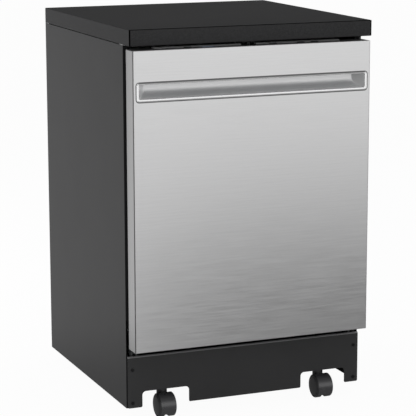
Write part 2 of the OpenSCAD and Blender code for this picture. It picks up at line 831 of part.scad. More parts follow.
module inlet_valve() {
    x = coupling_x[0];
    color("ivory") {
        block([x - 16, recess_y - 60, port_z - 14], [x + 16, recess_y - 12, port_z + 14]);
        bar_y(recess_y - 12 - eps, recess_y - 3, x, port_z, 7);
        block([x - 12, recess_y - 50, frame_top_z + pan_wall], [x + 12, recess_y - 26, port_z - 14 + eps]);
    }
}

module spray_feed_tube() {
    dock_y = rack_back_y + touch_gap;
    color("dimgray") {
        difference() {
            block([-tube_w / 2, tube_y, tube_low_z], [tube_w / 2, tub_back_y - touch_gap, manifold_z + manifold_h + 12]);
            block([-tube_w / 2 + 2, tube_y + 2, tube_low_z + 2],
                [tube_w / 2 - 2, tub_back_y - touch_gap - 2, manifold_z + manifold_h + 10]);
            bar_y(tube_y - 1, tube_y + 3, 0, manifold_z + manifold_h / 2, 4);
            bar_y(tub_back_y - touch_gap - 3, tub_back_y, 0, feed_port_z, 7);
        }
        difference() {
            bar_y(dock_y, tube_y + eps, 0, manifold_z + manifold_h / 2, 6);
            bar_y(dock_y - 1, tube_y + 1, 0, manifold_z + manifold_h / 2, 4);
        }
        difference() {
            bar_y(tub_back_y - touch_gap - eps, tub_back_y + 14, 0, feed_port_z, 9);
            bar_y(tub_back_y - touch_gap - 1, tub_back_y + 15, 0, feed_port_z, 7);
        }
    }
}

module float_switch() {
    sleeve_low = float_z - float_stem_l - 2;
    color("black") difference() {
        union() {
            bar_z(sleeve_low, tub_floor_z + 3, float_x, float_y, float_stem_r + 4.5);
            block([float_x - 16, float_y - 14, sleeve_low - 6], [float_x + 16, float_y + 14, sleeve_low + switch_h - 12]);
        }
        bar_z(sleeve_low - 7, tub_floor_z + 4, float_x, float_y, float_stem_r + run_gap);
    }
}

module float() {
    wall = 2;
    h = 24;
    color("white") {
        difference() {
            bar_z(float_z, float_z + h, float_x, float_y, float_r);
            bar_z(float_z - 1, float_z + h - wall, float_x, float_y, float_r - wall);
        }
        bar_z(float_z - float_stem_l, float_z + h - wall + eps, float_x, float_y, float_stem_r);
    }
}

// A hollow spray arm with two blades about a hub, drawn at the origin
module spray_arm(reach, hub_h) {
    blade_z = (hub_h - arm_t) / 2;
    tip_r = 12;
    jet_r = 1.8;
    jets = 6;
    difference() {
        union() {
            translate([0, 0, blade_z]) linear_extrude(arm_t)
                polygon(concat([for (i = [0:8]) [reach - tip_r + tip_r * cos(i * 22.5 - 90), tip_r * sin(i * 22.5 - 90)]],
                    [[0, arm_w / 2]],
                    [for (i = [0:8]) [-reach + tip_r + tip_r * cos(i * 22.5 + 90), tip_r * sin(i * 22.5 + 90)]],
                    [[0, -arm_w / 2]]));
            cylinder(h = hub_h, r = spigot_r + 7);
        }
        translate([0, 0, -1]) cylinder(h = hub_h + 2, r = spigot_r + run_gap);
        for (i = [1:jets]) for (s = [-1, 1])
            translate([s * (35 + i * (reach - 60) / jets), 3 * s, blade_z + arm_t - 3])
                cylinder(h = 4, r = jet_r, $fn = 16);
    }
}

module lower_spray_arm() {
    color("dimgray") translate([0, post_y, lower_arm_z]) spray_arm(lower_arm_r, arm_hub_h - 3);
}

module upper_spray_arm() {
    color("dimgray") translate([0, upper_arm_y, upper_arm_z]) spray_arm(upper_arm_r, arm_hub_h - 3);
}

// ---- Racks ----

// Open basket of square wires between two heights: a floor and four walls, welded
module wire_basket(z0, h) {
    rows = 3;
    wall_z = z0 + wire + weld_gap;
    along_z(z0, z0 + wire) wire_grid(-rack_x, rack_y, rack_x, rack_back_y, rack_cells_x, rack_cells_y);
    for (y = [rack_y, rack_back_y - wire])
        along_y(y, y + wire) wire_grid(-rack_x, wall_z, rack_x, z0 + h, rack_cells_x, rows);
    both() along_x(rack_x - wire, rack_x)
        wire_grid(rack_y + wire + weld_gap, wall_z, rack_back_y - wire - weld_gap, z0 + h, rack_cells_y, rows);
}

// A row of upright wires on a bar that lies across the rack's floor
module tine_row(y, z0, h) {
    x0 = -rack_x + 30;
    x1 = rack_x - 30;
    pitch = (x1 - x0 - wire) / (tine_count - 1);
    block([x0, y, z0 + wire + weld_gap], [x1, y + wire, z0 + 2 * wire]);
    for (i = [0:tine_count - 1])
        block([x0 + i * pitch, y, z0 + 2 * wire + weld_gap], [x0 + i * pitch + wire, y + wire, z0 + h]);
}

module lower_rack() {
    hanger_w = 14;
    color("lightgray") {
        wire_basket(lower_z, lower_rack_h);
        for (gap = tine_rows_y) let (y = basket_front_y + basket_d + gap)
            tine_row(y, lower_z, tine_h);
        both() for (y = [rack_axle_front_y, rack_axle_rear_y]) {
            block([rack_x - wire, y - hanger_w / 2, rack_axle_z - 7], [rack_x, y + hanger_w / 2, lower_z - weld_gap]);
            bar_x(rack_x - eps, rack_wheel_x + rack_wheel_w + 1, y, rack_axle_z, rack_axle_r);
            bar_x(rack_wheel_x + rack_wheel_w + touch_gap, rack_wheel_x + rack_wheel_w + 2, y, rack_axle_z, rack_axle_r + 2.5);
        }
    }
}

// The two wheels on one pair of stub axles
module rack_wheels(y) {
    spokes = 5;
    color("gray") both() difference() {
        bar_x(rack_wheel_x, rack_wheel_x + rack_wheel_w, y, rack_axle_z, rack_wheel_r);
        bar_x(rack_wheel_x - 1, rack_wheel_x + rack_wheel_w + 1, y, rack_axle_z, rack_axle_r + run_gap);
        for (i = [0:spokes - 1])
            bar_x(rack_wheel_x + 3, rack_wheel_x + rack_wheel_w + 1,
                y + 10 * cos(i * 360 / spokes), rack_axle_z + 10 * sin(i * 360 / spokes), 3.4);
    }
}

module lower_rack_wheels_front() {
    rack_wheels(rack_axle_front_y);
}

module lower_rack_wheels_rear() {
    rack_wheels(rack_axle_rear_y);
}

module cutlery_basket() {
    w = basket_wall;
    cell = (basket_w - w) / basket_cells;
    y0 = basket_front_y;
    z0 = basket_low_z;
    mid_y = y0 + basket_d / 2;
    color("dimgray") {
        difference() {
            block([-basket_w / 2, y0, z0], [basket_w / 2, y0 + basket_d, z0 + basket_h]);
            for (i = [0:basket_cells - 1])
                block([-basket_w / 2 + w + i * cell, y0 + w, z0 + w],
                    [-basket_w / 2 + (i + 1) * cell, y0 + basket_d - w, z0 + basket_h + 1]);
            for (i = [0:basket_cells - 1]) for (k = [0:2])
                block([-basket_w / 2 + w + i * cell + 6, y0 - 1, z0 + 14 + k * 32],
                    [-basket_w / 2 + (i + 1) * cell - 6, y0 + basket_d + 1, z0 + 34 + k * 32]);
        }
        for (x = [-cell - w / 2, cell - w / 2])
            block([x, mid_y - 10, z0 + w], [x + w, mid_y + 10, z0 + basket_h + basket_handle_h]);
        block([-cell - w / 2, mid_y - 10, z0 + basket_h + basket_handle_h - 8],
            [cell + w / 2, mid_y + 10, z0 + basket_h + basket_handle_h]);
    }
}

module upper_rack() {
    color("lightgray") {
        wire_basket(upper_z, upper_rack_h);
        for (y = [upper_arm_y - upper_tine_y, upper_arm_y + upper_tine_y])
            tine_row(y, upper_z, tine_h - 20);
        difference() {
            block([-manifold_w / 2, upper_arm_y - 14, manifold_z], [manifold_w / 2, rack_back_y, manifold_z + manifold_h]);
            block([-manifold_w / 2 + 2, upper_arm_y, manifold_z + 2],
                [manifold_w / 2 - 2, rack_back_y + 1, manifold_z + manifold_h - 2]);
        }
        for (y = [upper_arm_y - 8, rack_back_y - 26])
            block([-manifold_w / 2, y, manifold_z + manifold_h - eps], [manifold_w / 2, y + 20, upper_z - weld_gap]);
        bar_z(upper_arm_z - 1, manifold_z + eps, 0, upper_arm_y, spigot_r);
        bar_z(upper_arm_z - 4, upper_arm_z - 1 + eps, 0, upper_arm_y, spigot_r + 4);
    }
}

module upper_rack_slides() {
    color("silver") both() {
        block([slide_x + slip_gap + rail_wall + touch_gap, rack_y + 2, slide_z],
            [slide_x + slide_t + slip_gap - touch_gap, rack_back_y, slide_z + slide_h]);
        for (y = [rack_y + 2, rack_back_y - 26])
            block([rack_x, y, slide_z + 8], [slide_x + slip_gap + rail_wall + touch_gap + eps, y + 24, slide_z + slide_h - 8]);
    }
}

// ---- Door ----

// Outline of the scoop in y and z, grown by its wall
function scoop_outline(g) = concat(
    [[front_y - 1, pocket_low_z - g], [front_y + 3, pocket_low_z - g]],
    [for (i = [1:scoop_steps]) let (a = 90 * i / scoop_steps)
        [front_y + 3 + (scoop_depth - 3 + g) * sin(a),
            pocket_low_z - g + (pocket_top_z - pocket_low_z - 6) * (1 - cos(a))]],
    [[pocket_back_y + g, pocket_top_z + g], [front_y - 1, pocket_top_z + g]]);

// The hollow of the scoop, grown by its wall, with slanted ends
module scoop_body(g) {
    intersection() {
        along_x(-handle_w, handle_w) polygon(scoop_outline(g));
        along_z(handle_z - 20, handle_z + handle_h + 20)
            polygon([[-pocket_x - g, front_y - 2], [pocket_x + g, front_y - 2],
                [pocket_x + g, front_y + 2], [pocket_x - scoop_slant + g, pocket_back_y + g + 1],
                [-pocket_x + scoop_slant - g, pocket_back_y + g + 1], [-pocket_x - g, front_y + 2]]);
    }
}

module handle_pocket() {
    color("whitesmoke") difference() {
        union() {
            along_y(front_y, skin_y)
                polygon(round_rect(-handle_w / 2, handle_z, handle_w / 2, handle_z + handle_h, 4));
            intersection() {
                scoop_body(scoop_wall);
                block([-handle_w, skin_y - eps, handle_z - 30], [handle_w, pocket_back_y + 10, handle_z + 90]);
            }
        }
        scoop_body(0);
    }
}

module door_outer_panel() {
    t = sheet_t;
    fold = 28;
    color("silver") difference() {
        block([-door_x, skin_y, door_bottom_z], [door_x, door_side_y, door_top_z]);
        block([-door_x + t, skin_y + t, door_bottom_z + t], [door_x - t, door_side_y + 1, door_top_z + 1]);
        block([-door_x + t, skin_y + fold, door_bottom_z - 1], [door_x - t, door_side_y + 1, door_bottom_z + t + 1]);
        along_y(skin_y - 1, skin_y + t + 1)
            polygon(round_rect(-pocket_x - scoop_wall - touch_gap, pocket_low_z - scoop_wall - touch_gap,
                pocket_x + scoop_wall + touch_gap, pocket_top_z + scoop_wall + touch_gap, 1));
    }
}

module door_inner_panel() {
    t = sheet_t;
    y0 = inner_sheet_y - t;
    color("lightsteelblue") difference() {
        union() {
            block([-inner_flange_x, y0, tub_floor_z - flange_w + 1],
                [inner_flange_x, inner_sheet_y, strip_low_z + strip_h - 1]);
            along_y(y0, inner_face_y)
                polygon(round_rect(-inner_x, inner_low_z, inner_x, inner_high_z, tub_round));
        }
        along_y(y0 - 1, inner_face_y - t)
            polygon(round_rect(-inner_x + t, inner_low_z + t, inner_x - t, inner_high_z - t, tub_round - t));
        block([dispenser_x - dispenser_w / 2 - slip_gap, inner_face_y - t - 1, dispenser_z - dispenser_h / 2 - slip_gap],
            [dispenser_x + dispenser_w / 2 + slip_gap, inner_face_y + 1, dispenser_z + dispenser_h / 2 + slip_gap]);
    }
}

module door_insulation() {
    color("dimgray")
        block([-door_x + insulation_inset, skin_y + sheet_t, door_bottom_z + insulation_end],
            [door_x - insulation_inset, skin_y + sheet_t + insulation_t, handle_z - insulation_end]);
}

// Cut-out in the control strip for one button
module button_hole(x) {
    block([x - button_l / 2 - button_gap, button_y - button_d / 2 - button_gap, door_top_z - strip_wall - 1],
        [x + button_l / 2 + button_gap, button_y + button_d / 2 + button_gap, door_top_z + 1]);
}

module control_panel() {
    w = strip_wall;
    color("black") difference() {
        block([-strip_x, strip_front_y, strip_low_z], [strip_x, strip_back_y, door_top_z]);
        block([-strip_x + w, strip_front_y + w, strip_low_z - 1], [strip_x - w, strip_back_y - w, door_top_z - w]);
        for (x = [power_x, cycle_x, option_x, start_x]) button_hole(x);
        block([display_x - display_w / 2 - slip_gap, button_y - button_d / 2 - slip_gap, door_top_z - w - 1],
            [display_x + display_w / 2 + slip_gap, button_y + button_d / 2 + slip_gap, door_top_z + 1]);
        block([-latch_x - slip_gap, latch_back_y - latch_d - slip_gap, door_top_z - w - 1],
            [latch_x + slip_gap, latch_back_y + slip_gap, door_top_z + 1]);
        both() block([arm_x - 1, strip_back_y - w - 1, strip_low_z - 1],
            [arm_x + hinge_arm_t + 1, strip_back_y + 1, strip_low_z + 1]);
    }
}

module display_window() {
    color("cadetblue")
        block([display_x - display_w / 2, button_y - button_d / 2, door_top_z - strip_wall - 1],
            [display_x + display_w / 2, button_y + button_d / 2, door_top_z - 0.2]);
}

module control_board() {
    z = door_top_z - strip_wall - button_travel - button_head - 4;
    post_w = 6;
    color("darkgreen") {
        block([display_x - 90, strip_front_y + strip_wall + 2, z - board_t],
            [-latch_x - 4, strip_back_y - strip_wall - 6, z]);
        block([latch_x + 4, strip_front_y + strip_wall + 2, z - board_t],
            [start_x + 40, strip_back_y - strip_wall - 6, z]);
        for (x = [display_x - 70, display_x + 30, latch_x + 10, start_x + 25])
            block([x, strip_front_y + strip_wall + 4, z - eps],
                [x + post_w, strip_front_y + strip_wall + 10, door_top_z - strip_wall]);
    }
}

// A push button that stands out of the strip and is stopped by its foot
module push_button(x) {
    foot = 1.5;
    color("gray") {
        block([x - button_l / 2, button_y - button_d / 2, door_top_z - strip_wall - button_head],
            [x + button_l / 2, button_y + button_d / 2, door_top_z + button_proud]);
        block([x - button_l / 2 - foot, button_y - button_d / 2 - foot, door_top_z - strip_wall - button_head],
            [x + button_l / 2 + foot, button_y + button_d / 2 + foot, door_top_z - strip_wall - touch_gap]);
    }
}

module power_button() {
    push_button(power_x);
}

module cycle_button() {
    push_button(cycle_x);
}

module option_button() {
    push_button(option_x);
}

module start_button() {
    push_button(start_x);
}

module door_latch() {
    y0 = latch_back_y - latch_d;
    w = 2;
    color("black") difference() {
        block([-latch_x, y0, latch_low_z], [latch_x, latch_back_y, door_top_z - 0.2]);
        block([-hook_t / 2 - 1, y0 + w, hook_z - 26], [hook_t / 2 + 1, latch_back_y - w, door_top_z + 1]);
        bar_x(-hook_t / 2 - 6, hook_t / 2 + 6, hook_y, hook_z, hook_pin_r + run_gap);
    }
}

module latch_hook() {
    lever_w = 7;
    nose = 5;
    color("silver") {
        bar_x(-hook_t / 2 - 5, hook_t / 2 + 5, hook_y, hook_z, hook_pin_r);
        along_x(-hook_t / 2, hook_t / 2)
            polygon([[hook_y - lever_w / 2, hook_z - 20], [hook_y + lever_w / 2, hook_z - 20],
                [hook_y + lever_w / 2, strike_low_z - strike_gap - 3], [hook_y + nose, strike_low_z - strike_gap - 2],
                [hook_y + nose - 2, strike_low_z - strike_gap], [hook_y - lever_w / 2, strike_low_z - strike_gap]]);
    }
}

strike_low_z = cabinet_h - strike_t - 1.5;

module latch_strike() {
    half = 18;
    foot_t = 2;
    color("black") {
        difference() {
            block([-half, hook_y - 6, strike_low_z], [half, tub_flange_y + tub_wall + 2 - weld_gap, strike_low_z + strike_t]);
            block([-hook_t, hook_y + 6, strike_low_z - 1], [hook_t, hook_y + 10, strike_low_z + strike_t + 1]);
        }
        block([-half, tub_flange_y + tub_wall + 2, tub_top_z + flange_w], [half, tub_flange_y + tub_wall + 2 + foot_t, cabinet_h]);
        block([-half, tub_flange_y + tub_wall + 2, cabinet_h - foot_t], [half, tub_flange_y + 40, cabinet_h]);
    }
}

module detergent_dispenser() {
    y0 = inner_face_y - sheet_t - dispenser_d;
    y1 = inner_face_y + dispenser_proud;
    color("gray") difference() {
        block([dispenser_x - dispenser_w / 2, y0, dispenser_z - dispenser_h / 2],
            [dispenser_x + dispenser_w / 2, y1, dispenser_z + dispenser_h / 2]);
        block([cup_x - cup_w / 2, y0 + 2, cup_z - cup_h / 2], [cup_x + cup_w / 2, y1 + 1, cup_z + cup_h / 2]);
        bar_y(y1 - 6, y1 + 1, cap_x, cap_z, cap_r + touch_gap);
    }
}

module dispenser_lid() {
    y1 = inner_face_y + dispenser_proud;
    w = cup_w + 8;
    h = cup_h + 8;
    color("dimgray") {
        block([cup_x - w / 2, y1 + touch_gap, cup_z - h / 2], [cup_x + w / 2, y1 + touch_gap + lid_t, cup_z + h / 2]);
        block([cup_x + w / 2 - 12, y1 + touch_gap + lid_t - eps, cup_z - 16],
            [cup_x + w / 2 - 8, y1 + touch_gap + lid_t + 2, cup_z + 16]);
    }
}

module rinse_aid_cap() {
    y1 = inner_face_y + dispenser_proud;
    color("steelblue") {
        bar_y(y1 - 5, y1 + 1.5, cap_x, cap_z, cap_r);
        block([cap_x - cap_r + 3, y1 + 1.5 - eps, cap_z - 2.5], [cap_x + cap_r - 3, y1 + 5, cap_z + 2.5]);
    }
}

// One hinge arm: a leg inside the door, an eye round the pin and a lever for the spring
module hinge_arm() {
    leg_h = 177;
    difference() {
        union() {
            along_x(arm_x, arm_x + hinge_arm_t)
                translate([axis_y, hinge_z]) polygon([[-7, 0], [2, 0], [2, 13], [-4, 13], [-4, leg_h],
                    [-22, leg_h], [-22, 14], [-7, 14]]);
            bar_x(arm_x, arm_x + hinge_arm_t, axis_y, hinge_z, arm_eye_r);
            block([arm_x, axis_y, hinge_z - 4], [arm_x + hinge_arm_t, spring_y + 4, hinge_z + 4]);
        }
        bar_x(arm_x - 1, arm_x + hinge_arm_t + 1, axis_y, hinge_z, hinge_pin_r + run_gap);
        bar_x(arm_x - 1, arm_x + hinge_arm_t + 1, spring_y, hinge_z, 1.6);
    }
}

module hinge_arms() {
    color("silver") both() hinge_arm();
}

module balance_springs() {
    turns = 14;
    pitch = (spring_high_z - spring_low_z) / turns;
    inner_r = spring_r - 1.6;
    color("gray") both() {
        translate([spring_x, spring_y, spring_low_z]) rotate_extrude()
            polygon(concat([[inner_r, 0]],
                [for (i = [0:turns - 1]) for (p = [[spring_r - 0.8, i * pitch], [spring_r, (i + 0.5) * pitch]]) p],
                [[spring_r - 0.8, turns * pitch], [inner_r, turns * pitch]]));
        bar_z(spring_low_z - 4, spring_low_z + 1, spring_x, spring_y, inner_r + 0.3);
        bar_z(spring_high_z - 1, hinge_z - 4 - touch_gap, spring_x, spring_y, inner_r + 0.3);
    }
}

// ---- Rear inlets ----

module cord_inlet_box() {
    color("dimgray") difference() {
        union() {
            block([gland_x - 24, recess_y - 44, port_z - 20], [gland_x + 24, recess_y - 1, port_z + 20]);
            bar_y(recess_y - 1 - eps, recess_y + 20, gland_x, port_z, 10);
            bar_y(recess_y + recess_wall + touch_gap, recess_y + 12, gland_x, port_z, 13);
            block([gland_x - 16, recess_y - 36, frame_top_z + pan_wall], [gland_x + 16, recess_y - 12, port_z - 20 + eps]);
        }
        bar_y(recess_y - 20, recess_y + 21, gland_x, port_z, 4.5);
    }
}

module hose_couplings() {
    color("darkgray") for (i = [0, 1]) difference() {
        union() {
            bar_y(recess_y - 2, recess_y + 26, coupling_x[i], port_z, coupling_r[i]);
            bar_y(recess_y + recess_wall + touch_gap, recess_y + 8, coupling_x[i], port_z, coupling_r[i] + 4);
        }
        bar_y(recess_y - 3, recess_y + 27, coupling_x[i], port_z, coupling_r[i] - 3);
    }
}

// ---- Casters ----

// Fork and hood of one caster, with its stem at the origin and its wheels towards -y
module caster_fork() {
    difference() {
        union() {
            bar_x(-caster_web / 2, caster_web / 2, -caster_trail, wheel_r, hood_r);
            bar_z(wheel_r + 8, neck_top_z, 0, 0, neck_r);
            bar_z(neck_top_z - eps, stem_top_z, 0, 0, stem_r);
            bar_x(-caster_w / 2 + dome + 2, caster_w / 2 - dome - 2, -caster_trail, wheel_r, axle_r);
        }
        block([-caster_web, -caster_trail - hood_r, -1], [caster_web, hood_r, hood_notch_z]);
        // room for the wheels under the neck
        for (s = [-1, 1]) translate([s * (caster_web / 2 + caster_w / 2), 0, 0])
            difference() {
                bar_x(-caster_w / 2, caster_w / 2, -caster_trail, wheel_r, hood_r + 0.4);
                bar_x(-caster_w, caster_w, -caster_trail, wheel_r, axle_r);
            }
    }
}

// The two wheels of one caster, on an axle along x at the origin
module caster_wheels() {
    inner = caster_web / 2 + wheel_gap;
    outer = caster_w / 2;
    both() translate([inner, 0, 0]) rotate([0, 90, 0]) rotate_extrude($fn = 64)
        polygon([[axle_r + run_gap, 0], [wheel_r - 0.3, 0], [wheel_r, 0.3], [wheel_r, outer - inner - dome - tread_round],
            [wheel_r - 0.8, outer - inner - dome - 0.8], [wheel_r - tread_round, outer - inner - dome],
            [wheel_r - 3.6, outer - inner - dome], [wheel_r - 4, outer - inner - dome - ringed],
            [wheel_r - 4.8, outer - inner - dome - ringed], [wheel_r - 5.2, outer - inner - dome],
            [wheel_r - 10, outer - inner - dome * 0.4], [wheel_r - 16, outer - inner - dome * 0.1],
            [0, outer - inner], [0, outer - inner - dome - ringed + touch_gap],
            [axle_r + run_gap, outer - inner - dome - ringed + touch_gap]]);
}

module caster_at(x, y) {
    color("black") translate([x, y, 0]) caster_fork();
}

module wheels_at(x, y) {
    color("dimgray") translate([x, y - caster_trail, wheel_r]) caster_wheels();
}

module caster_front_left() {
    caster_at(-caster_x, -caster_y);
}

module caster_front_right() {
    caster_at(caster_x, -caster_y);
}

module caster_rear_left() {
    caster_at(-caster_x, caster_y);
}

module caster_rear_right() {
    caster_at(caster_x, caster_y);
}

module wheels_front_left() {
    wheels_at(-caster_x, -caster_y);
}

module wheels_front_right() {
    wheels_at(caster_x, -caster_y);
}

module wheels_rear_left() {
    wheels_at(-caster_x, caster_y);
}

module wheels_rear_right() {
    wheels_at(caster_x, caster_y);
}

worktop();
worktop_brackets();
side_panel_left();
side_panel_right();
rear_panel();
base_frame();
base_pan();
toe_kick();
panel_screws();
tub();
door_seal();
sound_blanket();
upper_rack_rails();
sump();
filter_plate();
heater();
wash_pump();
drain_pump();
inlet_valve();
spray_feed_tube();
float_switch();
latch_strike();
cord_inlet_box();
hose_couplings();
filter_cup();
float();
lower_spray_arm();
lower_rack();
lower_rack_wheels_front();
lower_rack_wheels_rear();
cutlery_basket();
upper_rack();
upper_rack_slides();
upper_spray_arm();
door_outer_panel();
handle_pocket();
door_inner_panel();
door_insulation();
control_panel();
display_window();
control_board();
door_latch();
latch_hook();
detergent_dispenser();
dispenser_lid();
rinse_aid_cap();
hinge_arms();
balance_springs();
power_button();
cycle_button();
option_button();
start_button();
caster_front_left();
caster_front_right();
caster_rear_left();
caster_rear_right();
wheels_front_left();
wheels_front_right();
wheels_rear_left();
wheels_rear_right();
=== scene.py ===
"""Portable dishwasher on wheels: the looks of its pieces, its stage and its camera."""

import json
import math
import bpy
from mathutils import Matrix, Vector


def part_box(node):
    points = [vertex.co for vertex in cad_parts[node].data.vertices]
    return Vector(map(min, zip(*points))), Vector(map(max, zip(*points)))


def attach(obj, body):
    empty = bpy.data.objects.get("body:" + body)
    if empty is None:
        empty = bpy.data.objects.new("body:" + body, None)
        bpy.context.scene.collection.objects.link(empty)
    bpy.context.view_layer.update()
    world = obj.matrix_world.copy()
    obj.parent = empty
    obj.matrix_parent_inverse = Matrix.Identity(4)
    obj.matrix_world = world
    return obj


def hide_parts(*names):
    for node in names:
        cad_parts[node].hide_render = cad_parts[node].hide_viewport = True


bl_info = {
    "name": "Portable Dishwasher",
    "version": (1, 0, 0),
    "blender": (4, 5, 0),
    "location": "View3D > Sidebar > Dishwasher",
    "description": "Dresses a portable dishwasher on casters, with its door, racks and studio",
    "category": "Object",
}

from contextlib import contextmanager

import bmesh
import bpy
from bpy.props import FloatProperty, FloatVectorProperty, IntProperty, PointerProperty
from mathutils import Matrix, Vector

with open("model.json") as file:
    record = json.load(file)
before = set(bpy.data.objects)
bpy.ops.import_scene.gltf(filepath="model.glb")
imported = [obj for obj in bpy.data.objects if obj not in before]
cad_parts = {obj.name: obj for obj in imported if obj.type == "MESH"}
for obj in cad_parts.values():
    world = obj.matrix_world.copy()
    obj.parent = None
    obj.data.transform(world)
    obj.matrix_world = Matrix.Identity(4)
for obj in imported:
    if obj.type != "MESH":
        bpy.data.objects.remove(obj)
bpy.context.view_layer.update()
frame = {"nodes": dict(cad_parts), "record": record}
BODIES = frame["record"]["behaviour"]["bodies"]
BODY_OF = {node: body for body, nodes in BODIES.items() for node in nodes}
SLOT_OF = {part["node"]: part["material_slot"] for part in frame["record"]["subparts"]}
MM = 0.001


# ---- Settings ----


def length(name, description, default):
    return FloatProperty(name=name, description=description, default=default, unit="LENGTH", precision=5)


def turn(name, description, degrees):
    return FloatProperty(name=name, description=description, default=math.radians(degrees), subtype="ANGLE")


def colour(name, description, default):
    return FloatVectorProperty(
        name=name, description=description, default=default, subtype="COLOR", size=3, min=0, max=1
    )


class DishwasherSizes(bpy.types.PropertyGroup):
    worktop_edge: length("Worktop edge", "Radius of the worktop's edges", 1.4 * MM)
    door_corner: length("Door corner", "Bend radius of the door's steel skin", 2.8 * MM)
    kick_bend: length("Toe kick bend", "Bend radius along the toe kick's upper edge", 4.6 * MM)
    sheet: length("Sheet", "Thickness of the steel sheets", 1.0 * MM)
    wire: length("Rack wire", "Radius of the rack wires", 2.0 * MM)
    thin_wire: length("Thin wire", "Radius of the racks' infill wires", 1.5 * MM)
    spring_wire: length("Spring wire", "Radius of the balance springs' wire", 0.75 * MM)
    spring_turns: IntProperty(name="Spring turns", description="Turns of each balance spring", default=22)
    tread: length("Wheel tread", "Edge radius of the caster wheels", 2.6 * MM)
    wheel_gap_half: length("Wheel spacing", "Distance from a caster's middle to each wheel", 7.1 * MM)
    cap_groove: length("Cap groove", "Depth of the ring groove in the wheel caps", 1.4 * MM)


class DishwasherColours(bpy.types.PropertyGroup):
    laminate: colour("Worktop", "Laminate of the worktop", (0.035, 0.035, 0.036))
    side_paint: colour("Side panels", "Baked paint of the side panels", (0.045, 0.045, 0.046))
    kick_paint: colour("Toe kick", "Paint of the toe kick", (0.048, 0.048, 0.049))
    door_steel: colour("Door", "Brushed steel of the door", (0.735, 0.735, 0.738))
    tub_steel: colour("Tub", "Polished steel of the tub", (0.66, 0.66, 0.665))
    zinc: colour("Zinc", "Galvanised sheet of the back", (0.42, 0.43, 0.44))
    frame_paint: colour("Base frame", "Paint of the base frame", (0.040, 0.042, 0.044))
    bright: colour("Bright trim", "Plated trim of the handle", (0.90, 0.90, 0.905))
    black: colour("Black plastic", "Moulded black parts", (0.016, 0.016, 0.017))
    # The strip's moulding is dark; this paler grey is painted light for the shade under the worktop.
    strip: colour("Control strip", "Moulding of the control strip", (0.26, 0.26, 0.263))
    inlay: colour("Strip bead", "Pale bead along the control strip", (0.78, 0.78, 0.785))
    button: colour("Buttons", "Push buttons", (0.012, 0.012, 0.013))
    grey: colour("Grey plastic", "Moulded parts in the tub", (0.23, 0.24, 0.25))
    pale: colour("Pale plastic", "Pale moulded parts", (0.70, 0.69, 0.66))
    coat: colour("Rack coating", "Nylon coat of the rack wires", (0.36, 0.38, 0.40))
    blue: colour("Blue cap", "Cap of the rinse-aid tank", (0.06, 0.17, 0.36))
    rubber: colour("Rubber", "Door seal", (0.022, 0.022, 0.023))
    felt: colour("Felt", "Sound blanket and door insulation", (0.055, 0.054, 0.052))
    display: colour("Display", "Glow of the display", (0.10, 0.22, 0.42))
    board: colour("Board", "Solder mask of the control board", (0.02, 0.11, 0.045))


class DishwasherStudio(bpy.types.PropertyGroup):
    focal: FloatProperty(name="Focal length", description="Camera lens in millimetres", default=157.2)
    eye: FloatVectorProperty(
        name="Camera", description="Place of the camera", default=(-1.6586, -4.1025, 1.3116), subtype="XYZ"
    )
    yaw: turn("Yaw", "Turn of the view to the right", 22.186)
    pitch: turn("Pitch", "Tilt of the view below level", 11.192)
    roll: turn("Roll", "Roll of the view", -0.128)
    world: FloatProperty(name="World", description="Strength of the even studio light", default=0.55)
    key: FloatProperty(name="Key lamp", description="Power of the lamp behind the left side", default=33.0)
    fill: FloatProperty(name="Fill lamp", description="Power of the large lamp overhead", default=20.0)


def sizes():
    return bpy.context.scene.dishwasher_sizes


def colours():
    return bpy.context.scene.dishwasher_colours


# ---- Shader groups ----


def new_group(name, inputs, outputs):
    """An empty shader group with named sockets; inputs map a name to its type and default."""
    group = bpy.data.node_groups.new(name, "ShaderNodeTree")
    for label, (kind, default) in inputs.items():
        socket = group.interface.new_socket(name=label, in_out="INPUT", socket_type=kind)
        socket.default_value = default
    for label in outputs:
        group.interface.new_socket(name=label, in_out="OUTPUT", socket_type="NodeSocketFloat")
    return group, group.nodes.new("NodeGroupInput"), group.nodes.new("NodeGroupOutput")


def add(tree, kind, **values):
    """A node with its inputs set by name or number."""
    node = tree.nodes.new(kind)
    for key, value in values.items():
        if hasattr(node, key):
            setattr(node, key, value)
        else:
            node.inputs[key.replace("_", " ")].default_value = value
    return node


def maths(tree, operation, a, b):
    """The result of a sum on two values, each a number or another node's output."""
    node = tree.nodes.new("ShaderNodeMath")
    node.operation = operation
    for slot_number, value in enumerate((a, b)):
        if isinstance(value, (int, float)):
            node.inputs[slot_number].default_value = value
        else:
            tree.links.new(value, node.inputs[slot_number])
    return node.outputs[0]


def times(tree, a, b):
    return maths(tree, "MULTIPLY", a, b)


def plus(tree, a, b):
    return maths(tree, "ADD", a, b)


def minus(tree, a, b):
    return maths(tree, "SUBTRACT", a, b)


